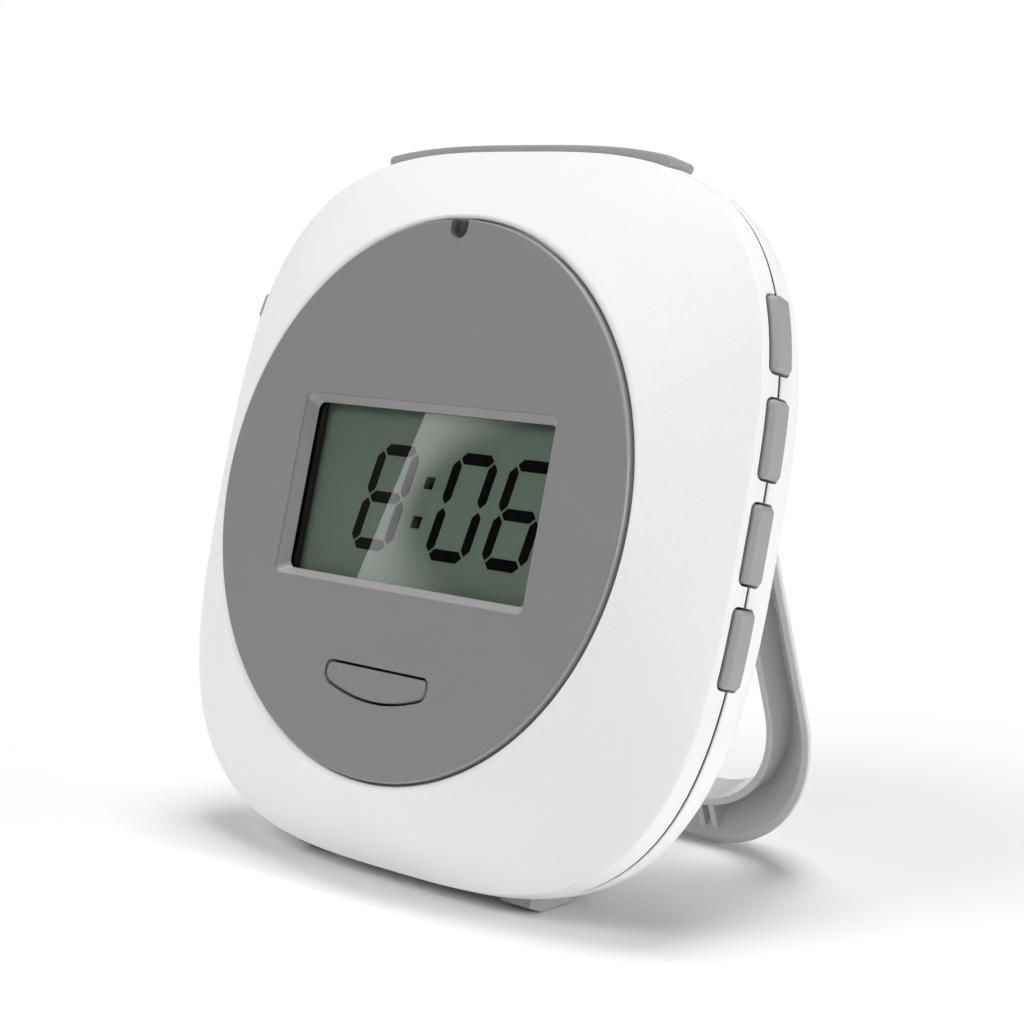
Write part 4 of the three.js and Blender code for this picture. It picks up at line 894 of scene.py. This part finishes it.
def test_outline(grow):
    """The test button's outline: flat on top and bowed below."""
    half, top, side = TEST_HALF + grow, TEST_TOP + grow, TEST_TOP - 2 - grow
    points = [(-half, top), (-half, side)]
    points += [(half * i / 10, side - TEST_BOW * (1 - (i / 10) ** 2)) for i in range(-9, 10)]
    return points + [(half, side), (half, top)]


def plate(outline, front, rear_face, corner=0):
    """A flat plate from an outline, with its sharp corners rounded."""
    bm, face = flat([(x * MM, front * MM, z * MM) for x, z in outline])
    draw(bm, face, (0, rear_face - front, 0))
    if corner:
        outwards(bm)
        bent = [edge for edge in edges_along(bm, 1) if edge.calc_face_angle(0) > math.radians(30)]
        soften(bm, bent, corner, 6)
    return bm


print("test button's top:", round(TEST_TOP, 2))

# %% [markdown]
# ## The face panel
#
# The panel is a flat disc with a rounded rim. A tapered block cuts the window and leaves a sloping
# frame round the display, the notch at the top lets the buzzer's sound out, and the cuts' edges are
# softened to catch the light. The test button is flush with the panel and of the same grey, so only
# the gap and its soft edge show it.

# %% Face panel and test button
WINDOW_HALF = (21.45, 11.45)
WINDOW_BEVEL = 1.0
THICKNESS = 1.5
RIM_ROUND = 0.35
NOTCH = (2.9, 2.3)
radius = PANEL_RADIUS / MM
rim = arc((radius - RIM_ROUND, RIM_ROUND), RIM_ROUND, 270, 360, 5)
panel = spun([(0, 0)] + rim + [(radius, THICKNESS), (0, THICKNESS)])
opening = block((-WINDOW_HALF[0], -1, -WINDOW_HALF[1]), (WINDOW_HALF[0], 3, WINDOW_HALF[1]))
for vertex in opening.verts:
    shrink = WINDOW_BEVEL * vertex.co.y / THICKNESS
    vertex.co.x *= 1 - shrink / abs(vertex.co.x)
    vertex.co.z *= 1 - shrink / abs(vertex.co.z)
slanted = [edge for edge in opening.edges if abs(edge.verts[0].co.y - edge.verts[1].co.y) > MM]
soften(opening, slanted, 0.9, 6)
notch_low = radius - NOTCH[1]
notch = block((-NOTCH[0] / 2, -1, notch_low), (NOTCH[0] / 2, 3, radius + 2))
soften(notch, [edge for edge in edges_along(notch, 1) if edge.verts[0].co.z < radius * MM], 1.2, 8)
panel = combined(panel, "DIFFERENCE", opening, plate(test_outline(GAP), -1, 3, 1.0), notch)
cut_edges = []
for edge in edges_at(panel, 1, 0):
    inner = min(vertex.co.xz.length for vertex in edge.verts) / MM
    if inner < radius - 0.6 and edge.calc_face_angle(0) > math.radians(20):
        cut_edges.append(edge)
soften(panel, cut_edges, 0.2, 3)
piece("face_panel_disc", panel, "case", "grey_panel", PANEL_GREY_EDGE_HIGHLIGHT, "face_panel", sharp=50)

button = plate(test_outline(0), 0.0, 2.6, 0.8)
soften(button, edges_at(button, 1, 0), 0.25, 4)
piece("test_button_cap", button, "test", "grey_panel", PANEL_GREY_EDGE_HIGHLIGHT, "test_button", sharp=50)

# %% [markdown]
# ## Bars of a digit
#
# A digit is made of up to seven bars with pointed ends. A bar has six corners between two points of a
# grid, given as (x, z, x, z), and the digits say which of their bars are dark.

# %% Bars of a digit
DIGIT_WIDTH = 5.0
DIGIT_HEIGHT = 11.75
BAR = 1.4
BAR_GAP = 0.25
lit = {"8": "abcdefg", "0": "abcdef", "6": "acdefg"}
GRID = {"a": (-1, 1, 1, 1), "b": (1, 1, 1, 0), "c": (1, 0, 1, -1), "d": (-1, -1, 1, -1)}
GRID |= {"e": (-1, 0, -1, -1), "f": (-1, 1, -1, 0), "g": (-1, 0, 1, 0)}


def bar_outline(start, end):
    """A bar with pointed ends between two points."""
    start, end = Vector(start), Vector(end)
    way = (end - start).normalized()
    across = Vector((-way.y, way.x)) * (BAR / 2)
    start, end = start + way * BAR_GAP, end - way * BAR_GAP
    left, right = way * (BAR / 2) + across, way * (BAR / 2) - across
    return [start, start + right, end - left, end, end - right, start + left]


def digit_bars(digit):
    """The outlines of a digit's dark bars."""
    right, top = DIGIT_WIDTH / 2 + 0.45, DIGIT_HEIGHT / 2
    ends = [GRID[bar] for bar in lit[digit]]
    return [bar_outline((a * right, b * top), (c * right, d * top)) for a, b, c, d in ends]


print("dark bars:", {digit: len(bars) for digit, bars in lit.items()})

# %% [markdown]
# ## The digits
#
# The bars and the two dots between the digits are slanted together and made into thin plates, which
# lie just in front of the display as dark liquid crystal seems to do.

# %% Digits
DIGIT_PLACES = (("8", -7.3), ("0", 5.9), ("6", 15.3))
DIGIT_MIDDLE = -0.2
SLANT = 0.212
DOT_HALF = 0.74
DOT_PLACES = ((-0.69, 2.43), (-0.69, -2.43))
display_front = upright_box("lcd_glass")[0].y / MM
bars = []
for digit, middle in DIGIT_PLACES:
    bars += [[(x + middle, z) for x, z in outline] for outline in digit_bars(digit)]
for middle, height in DOT_PLACES:
    square = [(x * DOT_HALF, z * DOT_HALF) for x, z in ((-1, -1), (1, -1), (1, 1), (-1, 1))]
    bars.append([(x + middle, z + height) for x, z in square])
figures = bmesh.new()
for outline in bars:
    slanted = [(x + SLANT * z, z + DIGIT_MIDDLE) for x, z in outline]
    stroke = bpy.data.meshes.new("stroke")
    shape = plate(slanted, display_front - 0.06, display_front - 0.01)
    shape.to_mesh(stroke)
    shape.free()
    figures.from_mesh(stroke)
piece("display_digits", figures, "case", "display", DIGITS)

# %% [markdown]
# ## The stand's bar
#
# The stand is a loop of channel section, which is stiff and saves plastic. It is modelled hanging
# straight down from its hinge, and swung back as the frame shows it. The section is one face, given
# as (inset, depth) points of its skin and hollow. It is drawn down a leg, spun a quarter turn round
# the corner, drawn across the bottom, spun again and drawn up the other leg. Faces left inside are
# taken out, so that the bar is one closed skin.

# %% Stand's bar
stand_hinge = Vector(joints["stand_hinge"]["pos_m"])
STAND_HALF = spread("stand", Matrix.Translation(-stand_hinge))[1].x / MM
STAND_OPEN = math.radians(32)
STAND = Matrix.Translation(stand_hinge) @ Matrix.Rotation(STAND_OPEN, 4, "X") @ lean_back
LENGTH = max(-(STAND.inverted() @ vertex.co).z for vertex in nodes["stand"].data.vertices) / MM
BAND = 6.4
STAND_DEPTH = 5.6
CORNER = 21.3
LEG_TOP = -0.05
FRONT = -STAND_DEPTH / 2
SKIN = [(0.0, 0.0), (0.0, 0.6), (BAND - 1.2, STAND_DEPTH), (BAND, STAND_DEPTH), (BAND, 0.0)]
HOLLOW = [(BAND - 1.0, 0.0), (BAND - 1.0, 4.4), (1.0, 0.0)]


def quarter_turn(bm, face, centre):
    """Spins a face a quarter turn round a corner of the loop, and gives its new end."""
    turn = {"cent": Vector(centre) * MM, "axis": (0, -1, 0), "angle": math.pi / 2, "steps": 28}
    made = bmesh.ops.spin(bm, geom=[face], **turn)["geom_last"]
    return next(item for item in made if isinstance(item, bmesh.types.BMFace))


outline = [(inset - STAND_HALF, FRONT + depth, LEG_TOP) for inset, depth in SKIN + HOLLOW]
stand, end = flat([Vector(point) * MM for point in outline])
soften(stand, end.verts[:], 0.22, 3, "VERTICES")
end = stand.faces[:][0]
low, middle = CORNER - LENGTH, STAND_HALF - CORNER
end = draw(stand, end, (0, 0, low - LEG_TOP))
end = quarter_turn(stand, end, (-middle, 0, low))
end = draw(stand, end, (2 * middle, 0, 0))
end = quarter_turn(stand, end, (middle, 0, low))
draw(stand, end, (0, 0, LEG_TOP - low))
inner = [face for face in stand.faces if all(len(edge.link_faces) > 2 for edge in face.edges)]
bmesh.ops.delete(stand, geom=inner, context="FACES_ONLY")
print("stand length:", round(LENGTH, 2))

# %% [markdown]
# ## The stand's tops, ribs and foot
#
# The tops are solid and end in hinge knuckles. Ribs stiffen the channel near the lower corners. The
# lower edge is cut level with the floor, so that the stand rests on a flat.

# %% Stand
SOLID_TOP = -7.0
FILLING = [(BAND - 0.7, 0.25), (BAND - 0.7, 5.0), (0.95, 0.25)]
RIB_HALF = 0.45
RIB_PLACES = (-15.5, -13.5, 13.5, 15.5)
tops = []
for side in (-1, 1):
    outline = [(side * (STAND_HALF - inset), FRONT + depth) for inset, depth in FILLING]
    filling, face = flat([Vector((x, y, SOLID_TOP)) * MM for x, y in outline])
    draw(filling, face, (0, 0, -0.3 - SOLID_TOP))
    reach = sorted((side * KNUCKLE[0], side * KNUCKLE[1]))
    tops += [filling, rod_across(LUG_RADIUS - 0.05, reach, 0, 0)]
ribs = []
for x in RIB_PLACES:
    rib_low = (x - RIB_HALF, FRONT + 0.8, -LENGTH + 1.2)
    rib = block(rib_low, (x + RIB_HALF, FRONT + 4.6, -LENGTH + BAND - 0.6))
    for vertex in rib.verts:
        if vertex.co.y > 0 and vertex.co.z < (-LENGTH + 3) * MM:
            vertex.co.z = (-LENGTH + BAND - 1.4) * MM
    ribs.append(rib)
stand = combined(stand, "UNION", *tops, *ribs)
under_floor = block((-60, -20, -20), (60, 120, 0))
under_floor.transform(STAND.inverted())
stand = combined(stand, "DIFFERENCE", under_floor)
piece("stand_loop", stand, "stand", "grey_stand", STAND_GREY, "stand", place=STAND)

# %% [markdown]
# ## Feet
#
# A foot is a plate cut to the shape between the leaning case and the level floor. The CAD node's
# corners, seen from the side, are put in order round their middle, and that outline is drawn across
# the foot's width.

# %% Feet
for name in ("foot_left", "foot_right"):
    low, high = box_mm(name)
    corners = [CASE.inverted() @ vertex.co / MM for vertex in nodes[name].data.vertices]
    points = {(round(corner.y, 3), round(corner.z, 3)) for corner in corners}
    middle = Vector((sum(y for y, z in points), sum(z for y, z in points))) / len(points)
    ring = sorted(points, key=lambda point: math.atan2(point[1] - middle.y, point[0] - middle.x))
    foot, face = flat([(low.x * MM, y * MM, z * MM) for y, z in ring])
    draw(foot, face, (high.x - low.x, 0, 0))
    outwards(foot)
    soften(foot, foot.edges[:], 0.3, 3)
    # The feet's darker grey is painted shade for the shadow they stand in.
    piece(f"{name}_block", foot, "case", "grey_stand", FOOT_SHADED_GREY, name)

# %% [markdown]
# ## The battery door
#
# The door is a plate with a thumb dish at its upper edge and three grip grooves. It tilts out about
# its lower edge, which is slanted inside so that it doesn't jam in the rear shell.

# %% Battery door
GROOVE_REACH = 9
GROOVE_HALF = 0.35
door = block(door_low, door_high)
soften(door, edges_along(door, 1), 1.0, 6)
soften(door, edges_at(door, 1, door_high.y), 0.2, 3)
for vertex in door.verts:
    if vertex.co.z < (door_low.z + 0.01) * MM and vertex.co.y < (door_high.y - 0.3) * MM:
        vertex.co.z += door_high.y * MM - vertex.co.y
grooves = []
for below in (6.5, 8.3, 10.1):
    middle = door_high.z - below
    groove_low = (-GROOVE_REACH, DEPTH - GROOVE_HALF, middle - GROOVE_HALF)
    groove = block(groove_low, (GROOVE_REACH, DEPTH + 1, middle + GROOVE_HALF))
    grooves.append(soften(groove, edges_along(groove, 1), 0.34, 4))
door = combined(door, "DIFFERENCE", thumb_dish(4.9, DEPTH - 0.9), *grooves)
piece("battery_door_plate", door, "door", "white_case", WHITE, "battery_door")

# %% [markdown]
# ## Screws and hinge pins
#
# Four screws hold the shells together. A head is a spun cap with a cross cut into it, and the hidden
# shank is plain. The stand turns on two steel pins, cut from rod, with rounded ends.

# %% Screws and pins
HEAD_RADIUS = 2.15
SHANK_RADIUS = 1
SHANK_LENGTH = 9
SLOT = (1.3, 0.22)
for index, (x, depth, z) in enumerate(screw_places, start=1):
    crown = arc((1.5, depth - 0.5), 0.5, 90, 20, 4)
    collar = [(HEAD_RADIUS, depth - 0.8), (HEAD_RADIUS, depth - 1.5), (SHANK_RADIUS, depth - 1.5)]
    shank = [(SHANK_RADIUS, depth - SHANK_LENGTH), (0, depth - SHANK_LENGTH)]
    head = spun([(0, depth)] + crown + collar + shank, 40, centre=(x, 0, z))
    slots = []
    for wide, high in (SLOT, SLOT[::-1]):
        slots.append(block((x - wide, depth - 0.7, z - high), (x + wide, depth + 1, z + high)))
    head = combined(head, "DIFFERENCE", *slots)
    piece(f"case_screw_{index}_head", head, "case", "steel", STEEL, f"case_screw_{index}")

for side in ("left", "right"):
    low, high = box_mm(f"stand_pin_{side}")
    radius = (high.z - low.z) / 2
    pin = rod_across(radius, (low.x, high.x), (low.y + high.y) / 2, (low.z + high.z) / 2)
    soften(pin, edges_at(pin, 0, low.x) + edges_at(pin, 0, high.x), 0.2, 2)
    piece(f"stand_pin_{side}_rod", pin, "case", "steel", STEEL, f"stand_pin_{side}")

# %% [markdown]
# ## The cells
#
# A cell is a spun can with rounded shoulders and a nub at its positive end. The CAD node's corners
# tell which end has the nub, and the sleeve's band goes there.

# %% Cells
SHOULDER = 0.6
NUB = 1.9
for index in (1, 2):
    low, high = box_mm(f"battery_{index}")
    ends = [CASE.inverted() @ vertex.co / MM for vertex in nodes[f"battery_{index}"].data.vertices]
    tip = [end.z - low.z for end in ends if end.x > high.x - 0.3]
    way = 1 if min(tip) > 2 else -1
    print("cell", index, "points to", "the right" if way > 0 else "the left")
    length, wide = high.x - low.x, (high.y - low.y) / 2
    base = [(0, 0.15), (wide - 1.4, 0.15), (wide - 1.2, 0)]
    base += arc((wide - SHOULDER, SHOULDER), SHOULDER, 270, 360, 4)
    top = arc((wide - SHOULDER, length - 1.6), SHOULDER, 0, 90, 4)
    nub = [(2.2, length - 1.0), (NUB, length - 0.8), (NUB, length - 0.2), (1.7, length), (0, length)]
    can = spun(base + top + nub, 48)
    quarter = Matrix.Rotation(-way * math.pi / 2, 3, "Z")
    bmesh.ops.rotate(can, cent=(0, 0, 0), matrix=quarter, verts=can.verts)
    start = Vector((low.x if way > 0 else high.x, (low.y + high.y) / 2, (low.z + high.z) / 2))
    shift(can, start * MM)
    sleeve = cell_sleeve(f"cell_sleeve_{index}", way)
    piece(f"battery_{index}_can", can, "case", "cell_wrap", sleeve, f"battery_{index}")

# %% [markdown]
# ## Finishes for the CAD pieces
#
# The display, its window and the pieces inside the case keep their CAD shapes and only get a finish,
# chosen by their material slot.

# %% Inner pieces
finishes = {
    "white_case": WHITE,
    "clear_lens": WINDOW,
    "display": DISPLAY,
    "conductive_rubber": RUBBER_AND_GAP_SHADE,
    "board": BOARD,
    "black_plastic": BLACK,
    "steel": STEEL,
    "brass": BRASS,
    "lead_black": LEAD_BLACK,
    "lead_red": LEAD_RED,
    "grey_panel": PANEL_GREY_EDGE_HIGHLIGHT,
    "grey_buttons": BUTTON_GREY,
    "grey_stand": STAND_GREY,
    "cell_wrap": BLACK,
}
for subpart in frame["record"]["subparts"]:
    mesh = nodes[subpart["node"]].data
    mesh.materials.clear()
    mesh.materials.append(finishes[subpart["material_slot"]])

# %% [markdown]
# ## The floor
#
# The clock stands on white paper that curves up all round it, like a photographer's sweep. Near the
# clock it shows shadows. Further off the camera sees pure white, while the light that bounces off the
# paper stays natural.


# %% Floor
def paper(name):
    """Paper with shadows near the clock, and plain white to the camera far from it."""
    place = start_material(name)
    away = place.node("ShaderNodeVectorMath", {"operation": "LENGTH"}, {0: place}, "Value")
    fibres = noise(place, 20 * MM).mix(rgb(0.86), rgb(0.88))
    colour = away.step(0.2, 0.8).mix(fibres, rgb(0.4))
    matt = place.node("ShaderNodeBsdfDiffuse", None, {"Color": colour})
    white = place.node("ShaderNodeEmission", None, {"Color": rgb(1), "Strength": 1.0})
    seen = place.node("ShaderNodeLightPath", output="Is Camera Ray")
    for ray in ("Is Glossy Ray", "Is Transmission Ray"):
        seen = place.maths("MAXIMUM", seen, place.node("ShaderNodeLightPath", output=ray))
    share = seen * away.step(0.04, 0.12)
    shader = place.node("ShaderNodeMixShader", None, {0: share, 1: matt, 2: white})
    return finished(shader)


bend = arc((2100, 400), 400, 270, 360, 12)
sheet = spun([(0, 0), (1200, 0)] + bend, 96)
upwards = Matrix.Rotation(math.pi / 2, 3, "X")
bmesh.ops.rotate(sheet, cent=(0, 0, 0), matrix=upwards, verts=sheet.verts)
for face in sheet.faces:
    face.smooth = True
floor = to_object("floor", sheet)
floor.data.materials.append(paper("white_paper"))
floor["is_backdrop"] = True
print("floor faces:", len(floor.data.polygons))

# %% [markdown]
# ## Light
#
# A softbox on the right makes the sides bright, one overhead lights the floor, and one in front
# lights the face and the dome round it. A faint white world keeps the shadows open.

# %% Light
clock_middle = (cad_low + cad_high) / 2
softboxes = {
    "right_softbox": ((1.25, 0.36, 0.28), 0.6, 9.8),
    "overhead_softbox": ((0.05, 0.14, 1.7), 0.8, 20),
    "front_softbox": ((-0.5, -1.25, 1.15), 1.0, 15.8),
}
for name, (place, size, strength) in softboxes.items():
    data = bpy.data.lights.new(name, "AREA")
    data.size = size
    data.energy = strength
    lamp = bpy.data.objects.new(name, data)
    bpy.context.collection.objects.link(lamp)
    lamp.location = place
    away = clock_middle - lamp.location
    lamp.rotation_euler = away.to_track_quat("-Z", "Y").to_euler()
world = bpy.data.worlds.new("studio")
world.use_nodes = True
background = world.node_tree.nodes["Background"]
background.inputs["Color"].default_value = (1, 1, 1, 1)
background.inputs["Strength"].default_value = 0.12
bpy.context.scene.world = world
bpy.context.scene.view_settings.view_transform = "Standard"
print("softboxes:", ", ".join(softboxes))

# %% [markdown]
# ## The window's reflection
#
# The window's bright corner is the reflection of a card. A mirror shows what the mirrored camera
# would see through it, so the card stands where lines from that camera, through the corners of the
# bright part, come out. Its own map lets the glow fade to one side.

# %% Reflected card
CARD_CORNERS = ((-1.2, 12), (-8.8, -12), (21.2, -12), (28.8, 12))
CARD_REACH = 1.2
glass = upright_box("lcd_lens")[0].y
seen_from = CASE.inverted() @ eye
mirrored = Vector((seen_from.x, 2 * glass - seen_from.y, seen_from.z))
points = [Vector((x * MM, glass, z * MM)) for x, z in CARD_CORNERS]
sheet, face = flat([point + (point - mirrored) * CARD_REACH for point in points])
layer = sheet.loops.layers.uv.new("card")
for loop, map_place in zip(face.loops, ((0, 1), (0, 0), (1, 0), (1, 1))):
    loop[layer].uv = map_place
sheet.transform(CASE)
card = to_object("reflected_card", sheet)
card.visible_diffuse = False
card.visible_shadow = False
place = start_material("reflected_card")
card_place = place.node("ShaderNodeUVMap", {"uv_map": "card"})
off_middle = abs(card_place.part(1) - 0.5)
fade = place.maths("DIVIDE", card_place.part(0), off_middle * off_middle * 2.4 + 0.2)
glow = fade.step(0.0, 1.0).mix(rgb(1), rgb(0))
shader = place.node("ShaderNodeEmission", None, {"Color": glow, "Strength": 4.3})
card.data.materials.append(finished(shader))
card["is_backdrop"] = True
print("card corners:", len(card.data.vertices))

# %% Finish
low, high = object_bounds()
